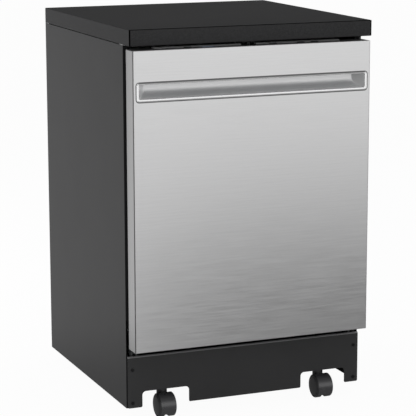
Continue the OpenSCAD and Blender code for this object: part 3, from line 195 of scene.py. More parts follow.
def brushed_lines(name):
    """Fine parallel scratches: noise stretched along one direction."""
    group, inp, out = new_group(
        name,
        {"Stretch": ("NodeSocketVector", (1, 1, 60)), "Scale": ("NodeSocketFloat", 40.0),
         "Contrast": ("NodeSocketFloat", 1.0)},
        ("Tone", "Height"),
    )
    broad_share = 0.12
    place = add(group, "ShaderNodeTexCoord")
    stretch = add(group, "ShaderNodeVectorMath", operation="MULTIPLY")
    fine = add(group, "ShaderNodeTexNoise", Detail=5.0, Roughness=0.65)
    broad = add(group, "ShaderNodeTexNoise", Detail=2.0, Roughness=0.5)
    group.links.new(place.outputs["Object"], stretch.inputs[0])
    group.links.new(inp.outputs["Stretch"], stretch.inputs[1])
    group.links.new(stretch.outputs[0], fine.inputs["Vector"])
    group.links.new(stretch.outputs[0], broad.inputs["Vector"])
    group.links.new(inp.outputs["Scale"], fine.inputs["Scale"])
    group.links.new(times(group, inp.outputs["Scale"], broad_share), broad.inputs["Scale"])
    both = plus(group, minus(group, fine.outputs["Fac"], 0.5), minus(group, broad.outputs["Fac"], 0.5))
    tone = plus(group, times(group, both, inp.outputs["Contrast"]), 0.5)
    group.links.new(tone, out.inputs["Tone"])
    group.links.new(fine.outputs["Fac"], out.inputs["Height"])
    return group


def moulded_grain(name):
    """Orange peel of paint and moulded plastic, with slow patches over it."""
    group, inp, out = new_group(
        name,
        {"Grain Scale": ("NodeSocketFloat", 900.0), "Patch Scale": ("NodeSocketFloat", 9.0)},
        ("Grain", "Patches"),
    )
    place = add(group, "ShaderNodeTexCoord")
    grain = add(group, "ShaderNodeTexNoise", Detail=2.0, Roughness=0.5)
    patches = add(group, "ShaderNodeTexNoise", Detail=4.0, Roughness=0.6)
    for node, label in ((grain, "Grain Scale"), (patches, "Patch Scale")):
        group.links.new(place.outputs["Object"], node.inputs["Vector"])
        group.links.new(inp.outputs[label], node.inputs["Scale"])
    group.links.new(grain.outputs["Fac"], out.inputs["Grain"])
    group.links.new(patches.outputs["Fac"], out.inputs["Patches"])
    return group


def laminate_speckle(name):
    """Pale and dark flecks pressed into a laminate."""
    group, inp, out = new_group(name, {"Fleck Scale": ("NodeSocketFloat", 500.0)}, ("Flecks", "Relief"))
    relief_share = 1.6
    place = add(group, "ShaderNodeTexCoord")
    cells = add(group, "ShaderNodeTexVoronoi", feature="F1", Randomness=1.0)
    relief = add(group, "ShaderNodeTexNoise", Detail=3.0, Roughness=0.6)
    group.links.new(place.outputs["Object"], cells.inputs["Vector"])
    group.links.new(place.outputs["Object"], relief.inputs["Vector"])
    group.links.new(inp.outputs["Fleck Scale"], cells.inputs["Scale"])
    group.links.new(times(group, inp.outputs["Fleck Scale"], relief_share), relief.inputs["Scale"])
    split = add(group, "ShaderNodeSeparateColor")
    group.links.new(cells.outputs["Color"], split.inputs[0])
    group.links.new(split.outputs[0], out.inputs["Flecks"])
    group.links.new(relief.outputs["Fac"], out.inputs["Relief"])
    return group


def rubbed_edges(name):
    """A mask along outward edges, where handling has rubbed the finish."""
    group, inp, out = new_group(name, {"Breadth": ("NodeSocketFloat", 0.08)}, ("Wear",))
    flat = 0.51
    shape = add(group, "ShaderNodeNewGeometry")
    place = add(group, "ShaderNodeTexCoord")
    patch = add(group, "ShaderNodeTexNoise", Scale=60.0, Detail=4.0, Roughness=0.7)
    group.links.new(place.outputs["Object"], patch.inputs["Vector"])
    edge = add(group, "ShaderNodeMapRange", clamp=True)
    edge.inputs["From Min"].default_value = flat
    group.links.new(plus(group, flat, inp.outputs["Breadth"]), edge.inputs["From Max"])
    group.links.new(shape.outputs["Pointiness"], edge.inputs["Value"])
    group.links.new(times(group, edge.outputs[0], patch.outputs["Fac"]), out.inputs["Wear"])
    return group


SHADER_GROUPS = {
    "Brushed Lines": brushed_lines,
    "Moulded Grain": moulded_grain,
    "Laminate Speckle": laminate_speckle,
    "Rubbed Edges": rubbed_edges,
}


def place_group(tree, name, **values):
    """A shader group in a material's tree, with its own values; the group is built when it is first used."""
    node = tree.nodes.new("ShaderNodeGroup")
    node.node_tree = bpy.data.node_groups.get(name) or SHADER_GROUPS[name](name)
    for key, value in values.items():
        node.inputs[key.replace("_", " ")].default_value = value
    return node


# ---- Materials ----


def shader(name, base, roughness, metallic=0.0, gloss=0.5):
    """A material with its Principled BSDF; sets what is the same all over on the shader."""
    material = bpy.data.materials.new(name)
    material.use_nodes = True
    tree = material.node_tree
    bsdf = tree.nodes["Principled BSDF"]
    bsdf.inputs["Base Color"].default_value = (*base, 1)
    bsdf.inputs["Roughness"].default_value = roughness
    bsdf.inputs["Metallic"].default_value = metallic
    bsdf.inputs["Specular IOR Level"].default_value = gloss
    material.diffuse_color = (*base, 1)
    return material, tree, bsdf


def colour_mix(tree, mask, low, high):
    """A mix of two colours over a mask; either can also be another node's output."""
    mix = add(tree, "ShaderNodeMix", data_type="RGBA")
    for number, value in ((6, low), (7, high)):
        if isinstance(value, tuple):
            mix.inputs[number].default_value = (*[min(1, part) for part in value], 1)
        else:
            tree.links.new(value, mix.inputs[number])
    tree.links.new(mask, mix.inputs[0])
    return mix.outputs[2]


def shade(base, share):
    """A share of a colour, darker below 1 and paler above."""
    return tuple(share * part for part in base)


def vary_colour(tree, bsdf, base, mask, low, high):
    """Base colour that runs from low to high times the written one over a mask."""
    varied = colour_mix(tree, mask, shade(base, low), shade(base, high))
    tree.links.new(varied, bsdf.inputs["Base Color"])
    return varied


def map_range(tree, value, start, end, low, high, **settings):
    """A value that runs from low to high while another runs from start to end."""
    node = add(tree, "ShaderNodeMapRange", **settings)
    for label, number in (("From Min", start), ("From Max", end), ("To Min", low), ("To Max", high)):
        node.inputs[label].default_value = number
    tree.links.new(value, node.inputs["Value"])
    return node.outputs[0]


def vary_roughness(tree, bsdf, mask, low, high):
    tree.links.new(map_range(tree, mask, 0.25, 0.75, low, high, clamp=True), bsdf.inputs["Roughness"])


def raise_relief(tree, bsdf, height, strength, distance):
    bump = add(tree, "ShaderNodeBump")
    bump.inputs["Strength"].default_value = strength
    bump.inputs["Distance"].default_value = distance
    tree.links.new(height, bump.inputs["Height"])
    tree.links.new(bump.outputs[0], bsdf.inputs["Normal"])


def steel_material(name, base, stretch, roughness, contrast=1.0, relief=0.05, metallic=1.0):
    """Brushed steel, whose scratches run along the axis that is stretched least."""
    material, tree, bsdf = shader(name, base, roughness, metallic)
    lines = place_group(tree, "Brushed Lines", Stretch=stretch, Contrast=contrast)
    vary_colour(tree, bsdf, base, lines.outputs["Tone"], 0.93, 1.07)
    vary_roughness(tree, bsdf, lines.outputs["Tone"], roughness - 0.05, roughness + 0.06)
    raise_relief(tree, bsdf, lines.outputs["Height"], relief, 0.2 * MM)
    return material


def moulded_material(name, base, roughness, metallic=0.0, grain=900.0, relief=0.08, wear=0.0, gloss=0.5,
                     patch=0.1):
    """Paint or moulded plastic with a fine grain; wear lightens its edges, and patch is how far it varies."""
    material, tree, bsdf = shader(name, base, roughness, metallic, gloss)
    skin = place_group(tree, "Moulded Grain", Grain_Scale=grain)
    varied = vary_colour(tree, bsdf, base, skin.outputs["Patches"], 1 - patch, 1 + patch)
    if wear:
        rubbed = place_group(tree, "Rubbed Edges")
        worn = colour_mix(tree, rubbed.outputs["Wear"], varied, tuple(part + wear for part in base))
        tree.links.new(worn, bsdf.inputs["Base Color"])
    vary_roughness(tree, bsdf, skin.outputs["Patches"], roughness - 0.5 * patch, roughness + 0.7 * patch)
    raise_relief(tree, bsdf, skin.outputs["Grain"], relief, 0.12 * MM)
    return material


def laminate_material(name, base):
    material, tree, bsdf = shader(name, base, 0.42, gloss=0.12)
    flecks = place_group(tree, "Laminate Speckle")
    vary_colour(tree, bsdf, base, flecks.outputs["Flecks"], 0.82, 1.2)
    vary_roughness(tree, bsdf, flecks.outputs["Relief"], 0.38, 0.48)
    raise_relief(tree, bsdf, flecks.outputs["Relief"], 0.1, 0.1 * MM)
    return material


def felt_material(name, base):
    material, tree, bsdf = shader(name, base, 0.95)
    bsdf.inputs["Sheen Weight"].default_value = 0.25
    skin = place_group(tree, "Moulded Grain", Grain_Scale=420.0, Patch_Scale=40.0)
    vary_colour(tree, bsdf, base, skin.outputs["Grain"], 0.6, 1.5)
    raise_relief(tree, bsdf, skin.outputs["Grain"], 0.8, 0.8 * MM)
    return material


def display_material(name, glow):
    """Dark glass with a faint glow behind it."""
    material, tree, bsdf = shader(name, (0.01, 0.012, 0.015), 0.12)
    bsdf.inputs["Coat Weight"].default_value = 0.6
    skin = place_group(tree, "Moulded Grain", Grain_Scale=260.0)
    uneven = colour_mix(tree, skin.outputs["Patches"], glow, shade(glow, 1.4))
    tree.links.new(uneven, bsdf.inputs["Emission Color"])
    bsdf.inputs["Emission Strength"].default_value = 0.3
    return material


def board_material(name, base):
    material, tree, bsdf = shader(name, base, 0.35)
    flecks = place_group(tree, "Laminate Speckle", Fleck_Scale=260.0)
    vary_colour(tree, bsdf, base, flecks.outputs["Flecks"], 0.7, 1.5)
    return material


def finish(make, name, hue, share=1.0, **values):
    """How one finish is made: its material's name, its written colour, how much of that, and its values."""
    return lambda: make(name, shade(getattr(colours(), hue), share), **values)


ACROSS = (2.0, 60.0, 60.0)
ALONG = (60.0, 2.0, 60.0)
UPRIGHT = (60.0, 60.0, 2.0)

FINISHES = {
    "laminate": finish(laminate_material, "worktop_laminate", "laminate"),
    "felt": finish(felt_material, "pressed_felt", "felt"),
    "display": finish(display_material, "display_glass", "display"),
    "board_green": finish(board_material, "solder_mask", "board"),
    "door_steel": finish(steel_material, "door_brushed_steel", "door_steel", stretch=ACROSS, roughness=0.34),
    # A darker copy of the door steel for the skin's front corner bends: painted dark reflection.
    "door_bend": finish(steel_material, "door_bend_steel", "door_steel", 0.6, stretch=ACROSS, roughness=0.34),
    "tub_steel": finish(steel_material, "tub_polished_steel", "tub_steel", stretch=ACROSS, roughness=0.26,
                        contrast=0.3, relief=0.02, metallic=0.55),
    "rail_steel": finish(steel_material, "rail_steel", "tub_steel", stretch=ALONG, roughness=0.3),
    "spring_steel": finish(steel_material, "spring_steel", "zinc", stretch=UPRIGHT, roughness=0.3),
    "bracket_steel": finish(steel_material, "bracket_steel", "tub_steel", stretch=UPRIGHT, roughness=0.36),
    "heater_steel": finish(steel_material, "heater_sheath", "zinc", stretch=ACROSS, roughness=0.42,
                           contrast=1.4),
    "handle_chrome": finish(steel_material, "handle_bright_trim", "bright", stretch=ACROSS, roughness=0.26,
                            contrast=0.5, relief=0.01),
    "scoop_metal": finish(steel_material, "handle_scoop_metal", "bright", stretch=ACROSS, roughness=0.4,
                          contrast=0.5, relief=0.01, metallic=0.6),
    "rim_shade": finish(steel_material, "handle_rim_shade", "bright", 0.5, stretch=ACROSS, roughness=0.3,
                        contrast=0.5, relief=0.01),
    # Dark finish for the thin sheet round the handle's rim: painted shadow line.
    "rim_shadow": finish(moulded_material, "handle_rim_gasket", "door_steel", 0.22, roughness=0.5, gloss=0.2),
    "zinc_steel": finish(moulded_material, "galvanised_sheet", "zinc", roughness=0.45, metallic=0.5,
                         grain=300, relief=0.05),
    "frame_steel": finish(moulded_material, "base_frame_paint", "frame_paint", roughness=0.5, grain=500,
                          wear=0.04),
    "side_paint": finish(moulded_material, "side_panel_paint", "side_paint", roughness=0.42, grain=650,
                         relief=0.1, gloss=0.25, patch=0.02),
    "kick_paint": finish(moulded_material, "toe_kick_paint", "kick_paint", roughness=0.42, grain=650,
                         relief=0.1, gloss=0.2),
    # A paler copy of the kick paint for its top bend: painted highlight where the door shades it.
    "kick_bend": finish(moulded_material, "toe_kick_bend", "kick_paint", 5.0, roughness=0.35, grain=650),
    # A near-black copy of the laminate for the worktop's edges: painted dark reflection.
    "laminate_seam": finish(moulded_material, "laminate_seam", "laminate", 0.06, roughness=0.7, gloss=0.0),
    "dark_plastic": finish(moulded_material, "dark_moulding", "black", roughness=0.5),
    "grey_plastic": finish(moulded_material, "grey_moulding", "grey", roughness=0.42),
    "ivory_plastic": finish(moulded_material, "pale_moulding", "pale", roughness=0.4),
    "white_plastic": finish(moulded_material, "float_moulding", "pale", roughness=0.35),
    "blue_plastic": finish(moulded_material, "cap_moulding", "blue", roughness=0.34),
    "button_grey": finish(moulded_material, "button_moulding", "button", roughness=0.4),
    # Grey copy of a dark moulding: painted light for the strip in the worktop's shade.
    "strip_black": finish(moulded_material, "control_strip_moulding", "strip", roughness=0.3, grain=1200,
                          relief=0.05),
    "strip_inlay": finish(moulded_material, "control_strip_inlay", "inlay", roughness=0.4, grain=1200,
                          relief=0.04),
    "rack_coat": finish(moulded_material, "rack_nylon_coat", "coat", roughness=0.38, grain=700, relief=0.05),
    "seal_rubber": finish(moulded_material, "seal_rubber", "rubber", roughness=0.62, grain=500, relief=0.15),
    # Near-black finish for the side panels' inner faces and front folds: painted shade.
    "deadener": finish(moulded_material, "sound_deadener", "rubber", roughness=0.8, grain=300, relief=0.3,
                       gloss=0.1),
    "wheel_black": finish(moulded_material, "caster_nylon", "black", 1.6, roughness=0.34, grain=800,
                          relief=0.06, wear=0.03, gloss=0.7),
    # Black nylon for the shell over the wheels, made paler by a painted highlight on the cylinder's front.
    "hood_black": finish(moulded_material, "caster_hood_nylon", "black", 3.2, roughness=0.28, grain=800,
                         relief=0.04, gloss=1.0),
    "screw_black": finish(moulded_material, "blackened_screw", "black", roughness=0.34, metallic=0.6),
}


def finish_of(slot):
    """The material of a slot, made when it is first asked for."""
    made = dict(bpy.context.scene.get("dishwasher_finishes", {}))
    if slot not in made:
        made[slot] = FINISHES[slot]().name
        bpy.context.scene["dishwasher_finishes"] = made
    return bpy.data.materials[made[slot]]


# ---- Mesh helpers ----


def in_scene(name, data):
    """An object of the scene that shows the data."""
    piece = bpy.data.objects.new(name, data)
    bpy.context.scene.collection.objects.link(piece)
    return piece


def new_piece(name, verts, faces):
    """An object made of points and faces."""
    mesh = bpy.data.meshes.new(name)
    mesh.from_pydata([tuple(v) for v in verts], [], faces)
    mesh.validate()
    return in_scene(name, mesh)


@contextmanager
def edited(piece):
    """The piece's mesh for editing, which is written back at the end."""
    bm = bmesh.new()
    bm.from_mesh(piece.data)
    yield bm
    bm.to_mesh(piece.data)
    bm.free()


def evaluated_mesh(piece):
    """The mesh that an object shows with its modifiers or its curve's settings."""
    graph = bpy.context.evaluated_depsgraph_get()
    return bpy.data.meshes.new_from_object(piece.evaluated_get(graph))


def apply_modifiers(piece):
    """Keeps the evaluated mesh and drops the modifiers."""
    baked = evaluated_mesh(piece)
    piece.modifiers.clear()
    old = piece.data
    piece.data = baked
    baked.name = piece.name
    bpy.data.meshes.remove(old)
    return piece


def tidy_mesh(piece, angle=0.6):
    """Joins split corners and melts the triangles of flat faces back together."""
    with edited(piece) as bm:
        bmesh.ops.remove_doubles(bm, verts=bm.verts, dist=0.004 * MM)
        bmesh.ops.dissolve_degenerate(bm, edges=bm.edges, dist=0.002 * MM)
        bmesh.ops.dissolve_limit(bm, angle_limit=math.radians(angle), verts=bm.verts, edges=bm.edges)
        bmesh.ops.recalc_face_normals(bm, faces=bm.faces)


def face_the_viewer(piece, depth=math.inf):
    """Makes the normals agree, so that the faces no further back than depth look to the front."""
    with edited(piece) as bm:
        bmesh.ops.recalc_face_normals(bm, faces=bm.faces)
        front = [f for f in bm.faces if f.calc_center_median().y < depth]
        if sum(f.normal.y for f in front) > 0:
            bmesh.ops.reverse_faces(bm, faces=bm.faces)


def smooth_by_angle(piece, angle=32.0):
    """Smooth shading that keeps the edges sharper than the angle, and keeps flat faces flat."""
    limit = math.radians(angle)
    with edited(piece) as bm:
        for face in bm.faces:
            face.smooth = True
        for edge in bm.edges:
            edge.smooth = len(edge.link_faces) == 2 and edge.calc_face_angle(0) < limit
    even = piece.modifiers.new("even shade", "WEIGHTED_NORMAL")
    even.keep_sharp = True
    even.weight = 90
    apply_modifiers(piece)


def soften(piece, width, segments=2, angle=35.0):
    """Rounds the piece's sharp edges by width."""
    bevel = piece.modifiers.new("edges", "BEVEL")
    bevel.width = width
    bevel.segments = segments
    bevel.limit_method = "ANGLE"
    bevel.angle_limit = math.radians(angle)
    bevel.harden_normals = False
    return apply_modifiers(piece)


def hand_over(piece, node, own_finish=None, replace=True):
    """Gives the piece its finish, and lets it ride on its node's body, in the node's place or beside it."""
    slot = SLOT_OF[node]
    piece.data.materials.clear()
    piece.data.materials.append(finish_of(own_finish or slot))
    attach(piece, BODY_OF[node])
    if replace:
        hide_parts(node)


def second_finish(piece, slot, wanted):
    """Gives the faces that a test picks another finish."""
    piece.data.materials.append(finish_of(slot))
    number = len(piece.data.materials) - 1
    for face in piece.data.polygons:
        if wanted(face):
            face.material_index = number


def dressed(node, name, edge, segments=2):
    """A rounded copy of a CAD node that takes its place."""
    piece = in_scene(name, frame["nodes"][node].data.copy())
    tidy_mesh(piece)
    if edge:
        soften(piece, edge, segments)
    smooth_by_angle(piece)
    hand_over(piece, node)
    return piece


def dress_all(rows):
    """Dresses nodes; a row is a node, its piece's name, its edge radius in mm and perhaps its segments."""
    for node, name, edge, *segments in rows:
        dressed(node, name, edge * MM, *segments)


def join(name, pieces):
    """One object from several, with their places applied."""
    bm = bmesh.new()
    for piece in pieces:
        piece.data.transform(piece.matrix_world)
        bm.from_mesh(piece.data)
        bpy.data.objects.remove(piece)
    mesh = bpy.data.meshes.new(name)
    bm.to_mesh(mesh)
    bm.free()
    return in_scene(name, mesh)


def wires(name, lines, radius, sides=3):
    """Round wires along polylines, as one mesh."""
    curve = bpy.data.curves.new(name, "CURVE")
    curve.dimensions = "3D"
    curve.bevel_depth = radius
    curve.bevel_resolution = sides
    curve.use_fill_caps = True
    for points in lines:
        closed = (Vector(points[0]) - Vector(points[-1])).length < 1e-6
        run = points[:-1] if closed else points
        spline = curve.splines.new("POLY")
        spline.points.add(len(run) - 1)
        for number, point in enumerate(run):
            spline.points[number].co = (*point, 1)
        spline.use_cyclic_u = closed
    holder = in_scene(name, curve)
    mesh = evaluated_mesh(holder)
    bpy.data.objects.remove(holder)
    piece = in_scene(name, mesh)
    smooth_by_angle(piece, 60)
    return piece


def arc(centre, radius, start, end, steps):
    """Points of an arc in a plane; angles in degrees."""
    turns = [math.radians(start + (end - start) * i / steps) for i in range(steps + 1)]
    return [(centre[0] + radius * math.cos(a), centre[1] + radius * math.sin(a)) for a in turns]


def lathe_x(name, profile, centre, segments=72):
    """Turns (x, radius) points about an axle along x through centre."""
    verts, faces = [], []
    count = len(profile)
    for step in range(segments):
        a = 2 * math.pi * step / segments
        for x, r in profile:
            verts.append((centre[0] + x, centre[1] + r * math.cos(a), centre[2] + r * math.sin(a)))
    for step in range(segments):
        after = (step + 1) % segments
        for k in range(count - 1):
            near, far = step * count + k, after * count + k
            faces.append((near, near + 1, far + 1, far))
    piece = new_piece(name, verts, faces)
    with edited(piece) as bm:
        bmesh.ops.remove_doubles(bm, verts=bm.verts, dist=0.001 * MM)
        bmesh.ops.recalc_face_normals(bm, faces=bm.faces)
    return piece


def rounded_ring(half_x, low_z, high_z, y, radius):
    """Points of an upright rounded rectangle that faces the viewer."""
    points = []
    corners = ((half_x - radius, high_z - radius, 0), (-half_x + radius, high_z - radius, 90),
               (-half_x + radius, low_z + radius, 180), (half_x - radius, low_z + radius, 270))
    for x, z, start in corners:
        points += [(px, y, pz) for px, pz in arc((x, z), radius, start, start + 90, 6)]
    return points


def loft(name, rings, close=True):
    """A skin through rings with equal numbers of points, with a face over the last one."""
    count = len(rings[0])
    verts = [point for ring in rings for point in ring]
    faces = []
    for k in range(len(rings) - 1):
        for i in range(count):
            j = (i + 1) % count
            faces.append((k * count + i, k * count + j, (k + 1) * count + j, (k + 1) * count + i))
    if close:
        faces.append(tuple(range((len(rings) - 1) * count, len(rings) * count)))
    return new_piece(name, verts, faces)


def solid_sheet(piece, thickness, edge=0.0):
    """Gives a sheet its thickness on the side away from its normals."""
    solid = piece.modifiers.new("sheet", "SOLIDIFY")
    solid.thickness = thickness
    solid.offset = -1
    solid.use_even_offset = True
    apply_modifiers(piece)
    if edge:
        soften(piece, edge, 2, 50)
    smooth_by_angle(piece)


def cut_across(piece, cuts):
    """Splits the faces that cross each plane, so that the parts can have their own finish."""
    with edited(piece) as bm:
        for place, normal in cuts:
            everything = bm.verts[:] + bm.edges[:] + bm.faces[:]
            bmesh.ops.bisect_plane(bm, geom=everything, dist=1e-6, plane_co=place, plane_no=normal)


def box_piece(name, low, high, edge=0.0):
    """A block with rounded edges."""
    corners = [(x, y, z) for x in (low[0], high[0]) for y in (low[1], high[1]) for z in (low[2], high[2])]
    faces = [(0, 1, 3, 2), (4, 6, 7, 5), (0, 4, 5, 1), (2, 3, 7, 6), (0, 2, 6, 4), (1, 5, 7, 3)]
    piece = new_piece(name, corners, faces)
    if edge:
        soften(piece, edge)
    return piece


# ---- Cabinet pieces ----


def make_worktop():
    """The slab, with a painted dark reflection, near black, along its ends, corners and front edge where they
    meet the top.
    """
    slab = dressed("worktop", "worktop_slab", sizes().worktop_edge, 3)
    low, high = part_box("worktop")
    dark_band, slanted = 3.4 * MM, 0.25
    cut_across(slab, [((x, 0, 0), (1, 0, 0)) for x in (low.x + dark_band, high.x - dark_band)])

    def in_the_painted_dark_edge(face):
        x, y, z = face.normal
        upright_corner = min(abs(x), abs(y)) > slanted
        end_strip = abs(y) > 0.9 and abs(face.center.x) > high.x - dark_band
        top_front = z > slanted and y < -slanted
        return upright_corner or end_strip or top_front

    # Painted dark reflection: these edge faces take a near-black copy of the laminate.
    second_finish(slab, "laminate_seam", in_the_painted_dark_edge)


def make_cabinet():
    """The sheets round the tub; the side panels' inner faces and front folds are near black, as painted shade
    where they show in the gaps and arches.
    """
    fold = 3 * MM
    for node, way in (("side_panel_left", 1), ("side_panel_right", -1)):
        panel = dressed(node, node + "_sheet", 0.3 * MM)
        low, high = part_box(node)
        inside = max(-low.x, high.x) - fold
        # Painted shade: the inner faces and front folds take a near-black finish.
        second_finish(panel, "deadener", lambda f: f.normal.x * way > 0.7
                      or (f.normal.y < -0.7 and abs(f.center.x) < inside))
    dress_all((
        ("rear_panel", "rear_panel_sheet", 0.3),
        ("worktop_brackets", "worktop_angle_brackets", 0.4),
        ("panel_screws", "panel_screw_set", 0.35),
        ("base_frame", "base_frame_rails", 0.4),
        ("base_pan", "base_pan_tray", 0.4),
        ("cord_inlet_box", "cord_inlet_housing", 0.8),
        ("hose_couplings", "hose_coupling_pair", 0.6),
        ("sound_blanket", "sound_blanket_felt", 1.5),
    ))


def kick_outline(low, high, top_z):
    """The toe kick's front face in x and z up to its bend, with an arch over each front caster."""
    half, arch_top, arch_r, foot_r = 58.5 * MM, 69 * MM, 9 * MM, 3.5 * MM
    foot_z = low.z + foot_r
    points = [(low.x, top_z)]
    points += arc((low.x + foot_r, foot_z), foot_r, 180, 270, 4)
    for node in ("caster_front_left", "caster_front_right"):
        caster_low, caster_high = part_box(node)
        middle = (caster_low.x + caster_high.x) / 2
        left, right = middle - half, middle + half
        points += arc((left - foot_r, foot_z), foot_r, 270, 360, 4)
        points += arc((left + arch_r, arch_top - arch_r), arch_r, 180, 90, 8)
        points += arc((right - arch_r, arch_top - arch_r), arch_r, 90, 0, 8)
        points += arc((right + foot_r, foot_z), foot_r, 180, 270, 4)
    points += arc((high.x - foot_r, foot_z), foot_r, 270, 360, 4)
    points.append((high.x, top_z))
    return points


def make_toe_kick():
    """A sheet whose top bends back, with a narrow flange near each end."""
    low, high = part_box("toe_kick")
    bend, steps = sizes().kick_bend, 6
    bend_z = high.z - bend
    verts = [(x, low.y, z) for x, z in kick_outline(low, high, bend_z)]
    faces = [tuple(range(len(verts)))]
    row = (0, len(verts) - 1)
    for step in range(1, steps + 1):
        a = math.radians(90 * step / steps)
        y, z = low.y + bend * (1 - math.cos(a)), bend_z + bend * math.sin(a)
        verts += [(low.x, y, z), (high.x, y, z)]
        after = (len(verts) - 2, len(verts) - 1)
        faces.append((row[0], row[1], after[1], after[0]))
        row = after
    front = new_piece("toe_kick_panel", verts, faces)
    face_the_viewer(front)
    solid_sheet(front, sizes().sheet, 0.2 * MM)
    pieces = [front]
    flange_inset, behind, above_foot, under_top = 8 * MM, 2 * MM, 4 * MM, 6 * MM
    for edge, way in ((low.x, 1), (high.x, -1)):
        near = edge + way * flange_inset
        across = sorted((near, near + way * sizes().sheet))
        pieces.append(box_piece("flange", (across[0], low.y + behind, low.z + above_foot),
                                (across[1], high.y, high.z - under_top), 0.2 * MM))
    whole = join("toe_kick_panel", pieces)
    smooth_by_angle(whole)
    hand_over(whole, "toe_kick")
    # Painted highlight: the top bend takes a paler copy of the kick paint.
    second_finish(whole, "kick_bend", lambda f: f.normal.z > 0.15 and f.center.z > bend_z - 0.5 * MM)


# ---- Casters ----


def wheel_profile(inner, outer, radius, bore):
    """Half section of one wheel: tread, ring groove and domed cap."""
    tread, groove = sizes().tread, sizes().cap_groove
    corner, dome, land, slope, floor, lip = (v * MM for v in (0.25, 2.2, 1.0, 0.4, 0.8, 0.2))
    shoulder = outer - dome
    ring = radius - tread - land
    cap = ring - 2 * slope - floor
    points = [(inner, bore), (inner, radius - corner), (inner + corner, radius)]
    points += reversed(arc((shoulder - tread, radius - tread), tread, 0, 90, 5))
    points += [(shoulder, ring), (shoulder - groove, ring - slope), (shoulder - groove, ring - slope - floor),
               (shoulder - lip, cap)]
    for step in range(1, 13):
        a = math.radians(7.5 * step)
        points.append((shoulder - lip + (dome + lip) * math.sin(a) ** 1.2, cap * math.cos(a)))
    return points


def hood_cover(centre, radius, half):
    """The thin shell of the hood over the tops and fronts of both wheels."""
    front_end, back_end, steps = 216, 28, 28
    gaps = (0.25 * MM, 0.95 * MM)
    verts = []
    for x in (centre.x - half, centre.x + half):
        for gap in gaps:
            run = arc((centre.y, centre.z), radius + gap, back_end, front_end, steps)
            verts += [(x, y, z) for y, z in run]
    n = steps + 1
    faces = [(k, n + k, 3 * n + k, 2 * n + k) for k in (0, steps)]
    for k in range(steps):
        for a, b in ((0, n), (n, 3 * n), (3 * n, 2 * n), (2 * n, 0)):
            faces.append((a + k, a + k + 1, b + k + 1, b + k))
    cover = new_piece("cover", verts, faces)
    tidy_mesh(cover, 0.01)
    soften(cover, 0.3 * MM, 2, 40)
    smooth_by_angle(cover, 40)
    return cover


def make_casters():
    """Twin wheels, the hood's web between them and the shell over them, for all four corners."""
    bore, bare_wheel = 4.06 * MM, 4.2 * MM
    for place in ("front_left", "front_right", "rear_left", "rear_right"):
        wheels, caster = "wheels_" + place, "caster_" + place
        low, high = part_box(wheels)
        centre = (low + high) / 2
        radius, outer = (high.z - low.z) / 2, (high.x - low.x) / 2
        profile = wheel_profile(sizes().wheel_gap_half, outer, radius, bore)
        pair = join(wheels + "_pair", [lathe_x("wheel", [(way * x, r) for x, r in profile], centre)
                                       for way in (1, -1)])
        smooth_by_angle(pair, 40)
        hand_over(pair, wheels)
        dressed(caster, caster + "_hood", 0.8 * MM, 3)
        # Painted highlight: the shell takes a paler copy of the black nylon.
        hand_over(hood_cover(centre, radius, outer - bare_wheel), caster, "hood_black", replace=False)


# ---- Door ----


def make_door_skin():
    """A sheet wrapped round the door's sides, with an opening for the handle and a fold at its foot."""
    low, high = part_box("door_outer_panel")
    pocket_low, pocket_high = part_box("handle_pocket")
    r, straight = sizes().door_corner, 6 * MM
    border, under_rim, foot = 5.5 * MM, 0.3 * MM, 3 * MM
    flank = low.y + r + straight
    left = [(low.x, high.y), (low.x, flank)] + arc((low.x + r, low.y + r), r, 180, 270, 6)
    right = arc((high.x - r, low.y + r), r, 270, 360, 6) + [(high.x, flank), (high.x, high.y)]
    hole = [(pocket_low.x + border, low.y), (pocket_high.x - border, low.y)]
    plan = left + hole + right
    rows = [low.z, low.z + foot, pocket_low.z + border, pocket_high.z - under_rim, high.z]
    verts = [(x, y, z) for z in rows for x, y in plan]
    n = len(plan)
    faces = []
    for j in range(len(rows) - 1):
        for i in range(n - 1):
            if (i, j) != (len(left), 2):
                faces.append((j * n + i, j * n + i + 1, (j + 1) * n + i + 1, (j + 1) * n + i))
    skin = new_piece("door_skin", verts, faces)
    solid_sheet(skin, sizes().sheet, 0.3 * MM)
    side_gap, behind, reach = 2.2 * MM, 1.1 * MM, 28 * MM
    fold = box_piece("fold", (low.x + side_gap, low.y + behind, low.z),
                     (high.x - side_gap, low.y + reach, low.z + sizes().sheet), 0.25 * MM)
    whole = join("door_steel_skin", [skin, fold])
    smooth_by_angle(whole)
    hand_over(whole, "door_outer_panel")
    # Painted dark reflection: the front corner bends take a darker copy of the door steel.
    second_finish(whole, "door_bend", lambda f: 0.5 < abs(f.normal.x) < 0.97 and f.normal.y < -0.2)


